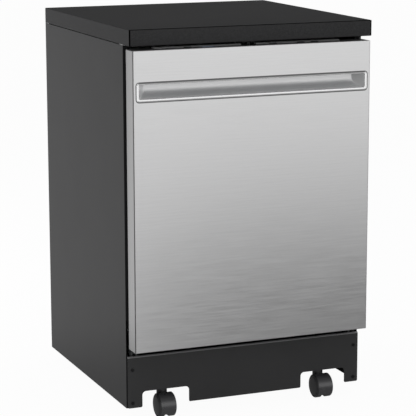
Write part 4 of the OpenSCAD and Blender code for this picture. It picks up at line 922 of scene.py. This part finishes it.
def make_handle():
    """Rim with a rolled inner edge, and a scoop whose floor curves up to the back."""
    low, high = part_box("handle_pocket")
    skin_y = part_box("door_outer_panel")[0].y
    half = (high.x - low.x) / 2
    border, roll, corner = 5.2 * MM, 1.6 * MM, 6.6 * MM
    band, fade, open_top = 4.4 * MM, 2.6 * MM, 2.2 * MM
    depth, slant, inner_corner = 28.6 * MM, 21 * MM, 2.2 * MM

    def ring(inset, y, radius, top_more=0.0):
        return rounded_ring(half - inset, low.z + inset, high.z - inset + top_more, y, radius)

    # The rim's rings from the outside in, each with how far its top band is sunk behind the rest.
    rim = [
        (ring(0.0, skin_y + 0.8 * MM, corner), 1.4 * MM),
        (ring(0.1 * MM, low.y + 0.25 * MM, corner - 0.1 * MM), 1.4 * MM),
        (ring(0.5 * MM, low.y, corner - 0.5 * MM), 1.3 * MM),
        (ring(border / 2, low.y + 0.02 * MM, 4.4 * MM, 0.8 * MM), 0.6 * MM),
    ]
    rings = []
    for points, sunk in rim:
        rings.append([(x, y + sunk * min(1, max(0, (z - high.z + band) / fade)), z) for x, y, z in points])
    for step in range(5):
        a = math.radians(22.5 * step)
        rings.append(ring(border + roll * math.sin(a), low.y + roll * (1 - math.cos(a)), 2.4 * MM, open_top))
    open_half = half - border - roll
    floor_z, roof_z = low.z + border + roll, high.z - border - roll + open_top
    for step in range(1, 13):
        a = math.radians(7.5 * step)
        inward = (depth - roll) * math.sin(a)
        lift = 0.68 * (roof_z - floor_z) * (1 - math.cos(a))
        rings.append(rounded_ring(open_half - slant * inward / depth, floor_z + lift, roof_z - 0.2 * MM,
                                  low.y + roll + inward, inner_corner))
    scoop = loft("handle_scoop", rings)
    face_the_viewer(scoop, low.y + 0.1 * MM)
    solid_sheet(scoop, 0.5 * MM)
    smooth_by_angle(scoop, 40)
    hand_over(scoop, "handle_pocket")

    def in_the_scoop(face):
        return face.center.y > low.y + 1.8 * MM

    def on_the_darkened_roof(face):
        return face.normal.z < -0.8 and face.center.z > roof_z - 1 * MM and face.center.y > low.y + 1.2 * MM

    def in_the_rims_shade(face):
        above = face.normal.z > 0.2 and face.center.z > high.z - 5 * MM
        below = face.normal.z < 0.1 and face.center.z < low.z + 3 * MM
        return face.center.y < low.y + 3 * MM and (above or below)

    second_finish(scoop, "scoop_metal", in_the_scoop)
    # Painted shade: the roof takes the grey moulding so that the scoop's floor reflects a dark roof.
    second_finish(scoop, "grey_plastic", on_the_darkened_roof)
    second_finish(scoop, "rim_shade", in_the_rims_shade)


def make_handle_shadow_line():
    """A thin dark sheet round the handle's rim: a painted shadow line."""
    low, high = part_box("handle_pocket")
    skin_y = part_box("door_outer_panel")[0].y
    half = (high.x - low.x) / 2
    proud, corner = 0.06 * MM, 6.6 * MM
    rings = [rounded_ring(half + out, low.z - out, high.z + out, y, corner + out)
             for out, y in ((1.9 * MM, skin_y), (1.8 * MM, skin_y - proud), (-0.1 * MM, skin_y - proud))]
    line = loft("handle_shadow_line", rings, close=False)
    solid_sheet(line, 0.03 * MM)
    hand_over(line, "handle_pocket", "rim_shadow", replace=False)


def make_control_bead():
    """The pale bead along the strip, behind the buttons and open round the latch's hook."""
    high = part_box("control_panel")[1]
    hook_low, hook_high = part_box("latch_hook")
    front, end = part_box("power_button")[1].y + 0.5 * MM, high.x - 62 * MM
    rise, flat, back, sunk, hook_gap = 2.8 * MM, 14 * MM, 16 * MM, 0.5 * MM, 10 * MM
    profile = ((front, high.z - sunk), (front, high.z + 0.3 * MM), (front + rise, high.z + rise),
               (front + flat, high.z + rise), (front + back, high.z - sunk))
    n = len(profile)
    caps = [tuple(range(n)), tuple(range(2 * n - 1, n - 1, -1))]
    sides = [(k, (k + 1) % n, (k + 1) % n + n, k + n) for k in range(n)]
    halves = []
    for near, far in ((-end, hook_low.x - hook_gap), (hook_high.x + hook_gap, end)):
        verts = [(x, y, z) for x in (near, far) for y, z in profile]
        half = new_piece("half", verts, sides + caps)
        tidy_mesh(half)
        halves.append(soften(half, 0.4 * MM))
    bead = join("control_strip_bead", halves)
    smooth_by_angle(bead)
    hand_over(bead, "control_panel", "strip_inlay", replace=False)


def make_controls():
    """The strip on the door's top edge, with dark end caps, and what is set in it."""
    strip = dressed("control_panel", "control_strip", 0.5 * MM)
    second_finish(strip, "dark_plastic", lambda f: abs(f.normal.x) > 0.7)
    make_control_bead()
    dress_all((
        ("display_window", "display_glass", 0.2),
        ("control_board", "control_circuit_board", 0.15),
        ("door_latch", "door_latch_housing", 0.6),
        ("latch_hook", "latch_hook_lever", 0.3),
        ("power_button", "power_button_cap", 0.6, 3),
        ("cycle_button", "cycle_button_cap", 0.6, 3),
        ("option_button", "option_button_cap", 0.6, 3),
        ("start_button", "start_button_cap", 0.6, 3),
        ("latch_strike", "latch_strike_plate", 0.4),
    ))


def make_inner_door():
    dress_all((
        ("door_inner_panel", "inner_door_tray", 0.4),
        ("door_insulation", "door_felt", 1.5),
        ("detergent_dispenser", "dispenser_body", 0.8, 3),
        ("dispenser_lid", "dispenser_sliding_lid", 0.5, 3),
        ("rinse_aid_cap", "rinse_aid_turn_cap", 0.6, 3),
        ("hinge_arms", "hinge_arm_pair", 0.3),
    ))


def make_springs():
    """A wound spring with a hook at each end, on both sides of the tub."""
    low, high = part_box("balance_springs")
    wire, per_turn = sizes().spring_wire, 16
    steps = sizes().spring_turns * per_turn
    outer_r, foot, head = 5.5 * MM, 5 * MM, 4 * MM
    radius = outer_r - wire
    y, z0, z1 = (low.y + high.y) / 2, low.z + foot, high.z - head
    lines = []
    for side in (-1, 1):
        x = side * (high.x - outer_r)
        hook_x = x + 0.6 * radius
        coil = []
        for k in range(steps + 1):
            a = 2 * math.pi * k / per_turn
            coil.append((x + radius * math.cos(a), y + radius * math.sin(a), z0 + (z1 - z0) * k / steps))
        lines.append([(x, y, low.z + wire), (hook_x, y, z0 - wire), *coil,
                      (hook_x, y, z1 + wire), (x, y, high.z - wire)])
    hand_over(wires("balance_spring_coils", lines, wire, 2), "balance_springs")


# ---- Tub and washing parts ----


def make_tub():
    """A box with rounded corners, open at the front, with a flange round its mouth."""
    low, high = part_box("tub")
    flange = 14 * MM
    half_x = high.x - flange
    floor_z, ceiling_z = low.z + flange, high.z - flange
    # Each ring, in millimetres: how far it is outside the mouth, how far from the front or the back,
    # and its corner radius.
    mouth = ((13.6, 0.8, 28), (13.6, 0.1, 28), (13, 0, 27), (1.2, 0, 17), (0.3, 0.4, 16.3), (0, 1.4, 16))
    back = ((0, 7, 16), (-0.6, 3, 15), (-2.4, 1.3, 13), (-6, 0.7, 10))
    places = [(out * MM, low.y + y * MM, r * MM) for out, y, r in mouth]
    places += [(out * MM, high.y - y * MM, r * MM) for out, y, r in back]
    shell = loft("tub_shell", [rounded_ring(half_x + out, floor_z - out, ceiling_z + out, y, r)
                               for out, y, r in places])
    solid_sheet(shell, 0.6 * MM)
    smooth_by_angle(shell, 35)
    hand_over(shell, "tub")
    dress_all((
        ("door_seal", "door_seal_gasket", 1.6, 4),
        ("upper_rack_rails", "rack_rail_channels", 0.3),
        ("filter_plate", "filter_flat_plate", 0.3),
        ("filter_cup", "filter_twist_cup", 0.6),
        ("heater", "heater_element", 0),
        ("spray_feed_tube", "spray_feed_duct", 1.2, 3),
        ("float", "float_dome", 1.5, 3),
    ))


def make_spray_arms():
    dress_all((
        ("lower_spray_arm", "lower_spray_arm_blades", 2.2, 4),
        ("upper_spray_arm", "upper_spray_arm_blades", 2.2, 4),
    ))


def make_machinery():
    dress_all((
        ("sump", "sump_bowl", 0.8),
        ("wash_pump", "wash_pump_motor", 1.5, 3),
        ("drain_pump", "drain_pump_motor", 1.5, 3),
        ("inlet_valve", "inlet_valve_body", 1.0),
        ("float_switch", "float_switch_body", 0.5),
    ))


# ---- Racks ----


def rack_wires(low, high, tines, tine_height):
    """The rims and the infill of a rack between two corners, with rows of tines; the walls lean out."""
    wire = sizes().wire
    columns, rows, levels = 12, 11, 3
    lean, corner_r, bend = 6 * MM, 22 * MM, 4 * MM
    x0, y0, base = low.x + wire, low.y + wire, low.z + wire
    x1, y1, top = high.x - wire, high.y - wire, high.z - wire

    def rim(z, inset):
        left, right = x0 + inset + corner_r, x1 - inset - corner_r
        front, back = y0 + inset + corner_r, y1 - inset - corner_r
        points = []
        for x, y, start in ((right, back, 0), (left, back, 90), (left, front, 180), (right, front, 270)):
            points += [(px, py, z) for px, py in arc((x, y), corner_r, start, start + 90, 5)]
        return points + [points[0]]

    def over_the_floor(start, end):
        """A wire's run and height: down one wall, across the floor and up the other wall."""
        foot, level = 0.8 * lean, lean + bend
        return ((start, top), (start + foot, base + bend), (start + level, base),
                (end - level, base), (end - foot, base + bend), (end, top))

    rims = [rim(top, 0), rim(base, lean)]
    infill = [rim(base + (top - base) * k / levels, lean * (1 - k / levels)) for k in range(1, levels)]
    for k in range(1, columns):
        x = x0 + (x1 - x0) * k / columns
        if abs(x - (x0 + x1) / 2) <= (x1 - x0) / 2 - corner_r:
            infill.append([(x, y, z) for y, z in over_the_floor(y0, y1)])
    for k in range(1, rows):
        y = y0 + (y1 - y0) * k / rows
        infill.append([(x, y, z) for x, z in over_the_floor(x0, x1)])
    for y in tines:
        infill += tine_row(low.x, high.x, y, base, tine_height)
    return [wires("rims", rims, wire), wires("infill", infill, sizes().thin_wire)]


def tine_row(left, right, y, base, height):
    """Upright tines that lean back a little, on a foot wire."""
    count, side_gap, tip, lean = 11, 32 * MM, 4 * MM, 1.5 * MM
    x0, x1 = left + side_gap, right - side_gap
    lines = [[(x0, y, base), (x1, y, base)]]
    for k in range(count):
        x = x0 + (x1 - x0) * k / (count - 1)
        lines.append([(x, y, base), (x, y + 1 * MM, base + height - tip), (x, y + lean, base + height)])
    return lines


def rack_hanger(side, rack_edge, axle_y, axle_z, wheel_edge, top_z):
    """The plate and the axle that carry one wheel of the lower rack."""
    thickness, half_breadth, below = 3 * MM, 8 * MM, 7 * MM
    axle_r, head_r, end_r, head, past_wheel = 2.9 * MM, 5 * MM, 4 * MM, 0.6 * MM, 1.5 * MM
    near, far = sorted((side * rack_edge, side * (rack_edge - thickness)))
    plate = box_piece("hanger", (near, axle_y - half_breadth, axle_z - below),
                      (far, axle_y + half_breadth, top_z), 0.8 * MM)
    reach = wheel_edge + past_wheel - rack_edge
    tip = reach + head
    profile = ((0, 0), (0, axle_r), (reach, axle_r), (reach, head_r), (tip, end_r), (tip, 0))
    axle = lathe_x("axle", [(side * x, r) for x, r in profile], (side * rack_edge, axle_y, axle_z), 24)
    return [plate, axle]


def make_lower_rack():
    """The wires on their wheels, as wide as the room between the wheels, and the basket."""
    low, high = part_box("lower_rack")
    front_low, front_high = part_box("lower_rack_wheels_front")
    wall_height, wheel_room = 118 * MM, 12 * MM
    corner = Vector((front_low.x + wheel_room, low.y, high.z - wall_height))
    far_corner = Vector((front_high.x - wheel_room, high.y, high.z))
    basket_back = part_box("cutlery_basket")[1].y
    pieces = rack_wires(corner, far_corner, [basket_back + gap * MM for gap in (62, 152, 242)], 74 * MM)
    for node in ("lower_rack_wheels_front", "lower_rack_wheels_rear"):
        wheel_low, wheel_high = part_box(node)
        centre = (wheel_low + wheel_high) / 2
        for side in (-1, 1):
            pieces += rack_hanger(side, far_corner.x, centre.y, centre.z, wheel_high.x, corner.z + 6 * MM)
        dressed(node, node + "_pair", 0.6 * MM)
    hand_over(join("lower_rack_wires", pieces), "lower_rack")
    dressed("cutlery_basket", "cutlery_basket_moulding", 0.5 * MM)


def make_upper_rack():
    """The wires, with the spray arm's duct and hub under the floor."""
    low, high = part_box("upper_rack")
    arm_low, arm_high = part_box("upper_spray_arm")
    arm_y = (arm_low.y + arm_high.y) / 2
    wall_height = 108 * MM
    corner = Vector((low.x, low.y, high.z - wall_height))
    pieces = rack_wires(corner, high, [arm_y + gap * MM for gap in (-108, 112)], 55 * MM)
    half, duct_z, duct_top = 12 * MM, corner.z - 15 * MM, corner.z - 2 * MM
    pieces.append(box_piece("duct", (-half, arm_y - 14 * MM, duct_z), (half, high.y, duct_top), 2.5 * MM))
    for y in (arm_y, high.y - 16 * MM):
        pieces.append(box_piece("clip", (-half, y - 8 * MM, duct_top - 1 * MM),
                                (half, y + 12 * MM, corner.z + 1 * MM), 0.8 * MM))
    flange_r, neck_r, flange = 13 * MM, 8.9 * MM, 3 * MM
    hub = [(0, 0), (0, flange_r), (flange, flange_r), (flange, neck_r), (duct_z - low.z + 1 * MM, neck_r)]
    post = lathe_x("hub", hub, (0, 0, 0), 40)
    post.matrix_world = Matrix.Translation((0, arm_y, low.z)) @ Matrix.Rotation(math.radians(-90), 4, "Y")
    hand_over(join("upper_rack_wires", pieces + [post]), "upper_rack")
    dressed("upper_rack_slides", "upper_rack_slide_rails", 0.4 * MM)


# ---- Studio ----


def ramp(tree, value, start, end, low, high):
    """A smooth step of a value between two limits."""
    return map_range(tree, value, start, end, low, high, interpolation_type="SMOOTHSTEP")


def floor_glow(tree, x, y):
    """How bright polished metal sees the floor: bright far ahead, dim close by and at the left.

    Each ramp runs between two places in metres from the part's middle, and so do the strip's slanted edges.
    """
    ahead = ramp(tree, y, -1.2, -3.85, 0.19, 1.0)
    slant = plus(tree, x, times(tree, y, 0.4))
    strip = times(tree, ramp(tree, slant, -0.36, -0.46, 0, 0.9), ramp(tree, x, -0.35, -0.2, 0, 1))
    ahead = maths(tree, "MINIMUM", 1.0, times(tree, ahead, plus(tree, 1.0, strip)))
    left = times(tree, ramp(tree, x, -0.45, -0.9, 0, 0.92), ramp(tree, y, 0.5, -0.1, 0, 1))
    tilt = ramp(tree, x, -0.1, 0.5, 1.3, 0.72)
    far = ramp(tree, y, -1.2, -3.4, 0, 1)
    right = plus(tree, tilt, times(tree, minus(tree, 1.0, tilt), far))
    behind = times(tree, ramp(tree, y, 0.0, 0.7, 0, 0.3), ramp(tree, x, 0.0, -0.5, 0, 1))
    level = times(tree, ahead, minus(tree, 1.0, left))
    return plus(tree, times(tree, level, right), behind)


def floor_material():
    """Pale floor that the camera sees as white, with the object's soft shadow left in."""
    material = bpy.data.materials.new("studio_floor")
    material.use_nodes = True
    tree = material.node_tree
    tree.nodes.clear()
    out = add(tree, "ShaderNodeOutputMaterial")
    path = add(tree, "ShaderNodeLightPath")
    matt = add(tree, "ShaderNodeBsdfDiffuse")
    matt.inputs["Color"].default_value = (0.8, 0.8, 0.8, 1)
    white = add(tree, "ShaderNodeEmission")
    place = add(tree, "ShaderNodeNewGeometry")
    split = add(tree, "ShaderNodeSeparateXYZ")
    tree.links.new(place.outputs["Position"], split.inputs[0])
    glossy = path.outputs["Is Glossy Ray"]
    glow = floor_glow(tree, split.outputs["X"], split.outputs["Y"])
    dimmed = times(tree, glossy, minus(tree, 1.0, glow))
    tree.links.new(minus(tree, 1.0, dimmed), white.inputs["Strength"])
    for_the_camera, for_gloss = 0.96, 0.97
    seen = maths(tree, "MAXIMUM", times(tree, path.outputs["Is Camera Ray"], for_the_camera),
                 times(tree, glossy, for_gloss))
    mix = add(tree, "ShaderNodeMixShader")
    tree.links.new(seen, mix.inputs[0])
    tree.links.new(matt.outputs[0], mix.inputs[1])
    tree.links.new(white.outputs[0], mix.inputs[2])
    tree.links.new(mix.outputs[0], out.inputs[0])
    return material


def make_floor():
    size = 40.0
    corners = [(-size, -size, 0), (size, -size, 0), (size, size, 0), (-size, size, 0)]
    floor = new_piece("studio_floor", corners, [(0, 1, 2, 3)])
    floor.data.materials.append(floor_material())


def make_world(strength):
    """White for the camera, even for matt surfaces, and for polished ones white ahead with a dim ceiling."""
    world = bpy.data.worlds.new("studio")
    bpy.context.scene.world = world
    world.use_nodes = True
    tree = world.node_tree
    back = tree.nodes["Background"]
    back.inputs["Color"].default_value = (1, 1, 1, 1)
    path = add(tree, "ShaderNodeLightPath")
    place = add(tree, "ShaderNodeTexCoord")
    split = add(tree, "ShaderNodeSeparateXYZ")
    tree.links.new(place.outputs["Generated"], split.inputs[0])
    x, y, z = split.outputs
    ahead = ramp(tree, y, 0.3, -0.35, 0.12, 1.0)
    ceiling = ramp(tree, z, 0.4, 0.75, 1.0, 0.15)
    left = ramp(tree, x, -0.55, -0.85, 1.0, 0.2)
    glow = times(tree, times(tree, ahead, ceiling), left)
    seen = maths(tree, "MAXIMUM", path.outputs["Is Camera Ray"], path.outputs["Is Transmission Ray"])
    level = plus(tree, strength, times(tree, seen, 1 - strength))
    polished = times(tree, path.outputs["Is Glossy Ray"], minus(tree, glow, strength))
    tree.links.new(plus(tree, level, polished), back.inputs["Strength"])


def make_lamp(name, place, aim, size, power):
    data = bpy.data.lights.new(name, "AREA")
    data.shape = "RECTANGLE"
    data.size, data.size_y = size
    data.energy = power
    lamp = in_scene(name, data)
    lamp.location = place
    lamp.visible_glossy = False
    lamp.rotation_euler = (Vector(aim) - Vector(place)).to_track_quat("-Z", "Y").to_euler()


def make_camera(studio):
    yaw, pitch, roll = studio.yaw, studio.pitch, studio.roll
    ahead = Vector((math.sin(yaw) * math.cos(pitch), math.cos(yaw) * math.cos(pitch), -math.sin(pitch)))
    right = Vector((math.cos(yaw), -math.sin(yaw), 0))
    up = right.cross(ahead)
    across = math.cos(roll) * right + math.sin(roll) * up
    above = -math.sin(roll) * right + math.cos(roll) * up
    data = bpy.data.cameras.new("camera")
    data.lens = studio.focal
    data.sensor_width = 36
    data.sensor_fit = "HORIZONTAL"
    camera = in_scene("camera", data)
    basis = Matrix((across, above, -ahead)).transposed().to_4x4()
    camera.matrix_world = Matrix.Translation(studio.eye) @ basis
    bpy.context.scene.camera = camera


# ---- Operators ----


class DISHWASHER_OT_worktop(bpy.types.Operator):
    """Make the worktop slab"""

    bl_idname = "dishwasher.worktop"
    bl_label = "Worktop"

    def execute(self, context):
        make_worktop()
        return {"FINISHED"}


class DISHWASHER_OT_cabinet(bpy.types.Operator):
    """Make the side panels, rear panel, base frame and rear inlets"""

    bl_idname = "dishwasher.cabinet"
    bl_label = "Cabinet"

    def execute(self, context):
        make_cabinet()
        return {"FINISHED"}


class DISHWASHER_OT_toe_kick(bpy.types.Operator):
    """Make the toe kick with its arches"""

    bl_idname = "dishwasher.toe_kick"
    bl_label = "Toe kick"

    def execute(self, context):
        make_toe_kick()
        return {"FINISHED"}


class DISHWASHER_OT_casters(bpy.types.Operator):
    """Make the four twin-wheel casters"""

    bl_idname = "dishwasher.casters"
    bl_label = "Casters"

    def execute(self, context):
        make_casters()
        return {"FINISHED"}


class DISHWASHER_OT_door(bpy.types.Operator):
    """Make the door's steel skin and the scoop handle"""

    bl_idname = "dishwasher.door"
    bl_label = "Door"

    def execute(self, context):
        make_door_skin()
        make_handle_shadow_line()
        make_handle()
        return {"FINISHED"}


class DISHWASHER_OT_controls(bpy.types.Operator):
    """Make the control strip, its buttons, the display and the latch"""

    bl_idname = "dishwasher.controls"
    bl_label = "Controls"

    def execute(self, context):
        make_controls()
        return {"FINISHED"}


class DISHWASHER_OT_inner_door(bpy.types.Operator):
    """Make the inner door, the dispenser, the hinge arms and the balance springs"""

    bl_idname = "dishwasher.inner_door"
    bl_label = "Inner door"

    def execute(self, context):
        make_inner_door()
        make_springs()
        return {"FINISHED"}


class DISHWASHER_OT_tub(bpy.types.Operator):
    """Make the tub, its seal, filter, heater and float"""

    bl_idname = "dishwasher.tub"
    bl_label = "Tub"

    def execute(self, context):
        make_tub()
        return {"FINISHED"}


class DISHWASHER_OT_spray_arms(bpy.types.Operator):
    """Make the two spray arms"""

    bl_idname = "dishwasher.spray_arms"
    bl_label = "Spray arms"

    def execute(self, context):
        make_spray_arms()
        return {"FINISHED"}


class DISHWASHER_OT_machinery(bpy.types.Operator):
    """Make the sump, the pumps, the valve and the float switch"""

    bl_idname = "dishwasher.machinery"
    bl_label = "Machinery"

    def execute(self, context):
        make_machinery()
        return {"FINISHED"}


class DISHWASHER_OT_racks(bpy.types.Operator):
    """Make the two wire racks and the cutlery basket"""

    bl_idname = "dishwasher.racks"
    bl_label = "Racks"

    def execute(self, context):
        make_lower_rack()
        make_upper_rack()
        return {"FINISHED"}


class DISHWASHER_OT_studio(bpy.types.Operator):
    """Make the floor, the world, the lamps and the camera"""

    bl_idname = "dishwasher.studio"
    bl_label = "Studio"

    def execute(self, context):
        studio = context.scene.dishwasher_studio
        context.scene.view_settings.view_transform = "Standard"
        make_camera(studio)
        make_floor()
        make_world(studio.world)
        make_lamp("key_lamp", (-1.9, 1.9, 1.1), (-0.3, 0.3, 0.5), (1.0, 1.0), studio.key)
        make_lamp("top_lamp", (0.2, -0.8, 3.6), (0, 0, 0.6), (2.0, 2.0), studio.fill)
        return {"FINISHED"}


OPERATORS = (
    DISHWASHER_OT_studio,
    DISHWASHER_OT_worktop,
    DISHWASHER_OT_cabinet,
    DISHWASHER_OT_toe_kick,
    DISHWASHER_OT_casters,
    DISHWASHER_OT_door,
    DISHWASHER_OT_controls,
    DISHWASHER_OT_inner_door,
    DISHWASHER_OT_tub,
    DISHWASHER_OT_spray_arms,
    DISHWASHER_OT_machinery,
    DISHWASHER_OT_racks,
)


class DISHWASHER_PT_panel(bpy.types.Panel):
    """Lists the pieces of the dishwasher"""

    bl_label = "Portable dishwasher"
    bl_idname = "DISHWASHER_PT_panel"
    bl_space_type = "VIEW_3D"
    bl_region_type = "UI"
    bl_category = "Dishwasher"

    def draw(self, context):
        column = self.layout.column(align=True)
        for operator in OPERATORS:
            column.operator(operator.bl_idname)
        for group in (context.scene.dishwasher_sizes, context.scene.dishwasher_colours,
                      context.scene.dishwasher_studio):
            box = self.layout.box()
            for key in type(group).__annotations__:
                box.prop(group, key)


GROUPS = (
    ("dishwasher_sizes", DishwasherSizes),
    ("dishwasher_colours", DishwasherColours),
    ("dishwasher_studio", DishwasherStudio),
)


def register():
    for key, group in GROUPS:
        bpy.utils.register_class(group)
        setattr(bpy.types.Scene, key, PointerProperty(type=group))
    for cls in (*OPERATORS, DISHWASHER_PT_panel):
        bpy.utils.register_class(cls)


def unregister():
    for cls in (DISHWASHER_PT_panel, *reversed(OPERATORS)):
        bpy.utils.unregister_class(cls)
    for key, group in reversed(GROUPS):
        delattr(bpy.types.Scene, key)
        bpy.utils.unregister_class(group)


def main():
    register()
    for operator in OPERATORS:
        category, name = operator.bl_idname.split(".")
        getattr(getattr(bpy.ops, category), name)()


if __name__ == "__main__":
    main()
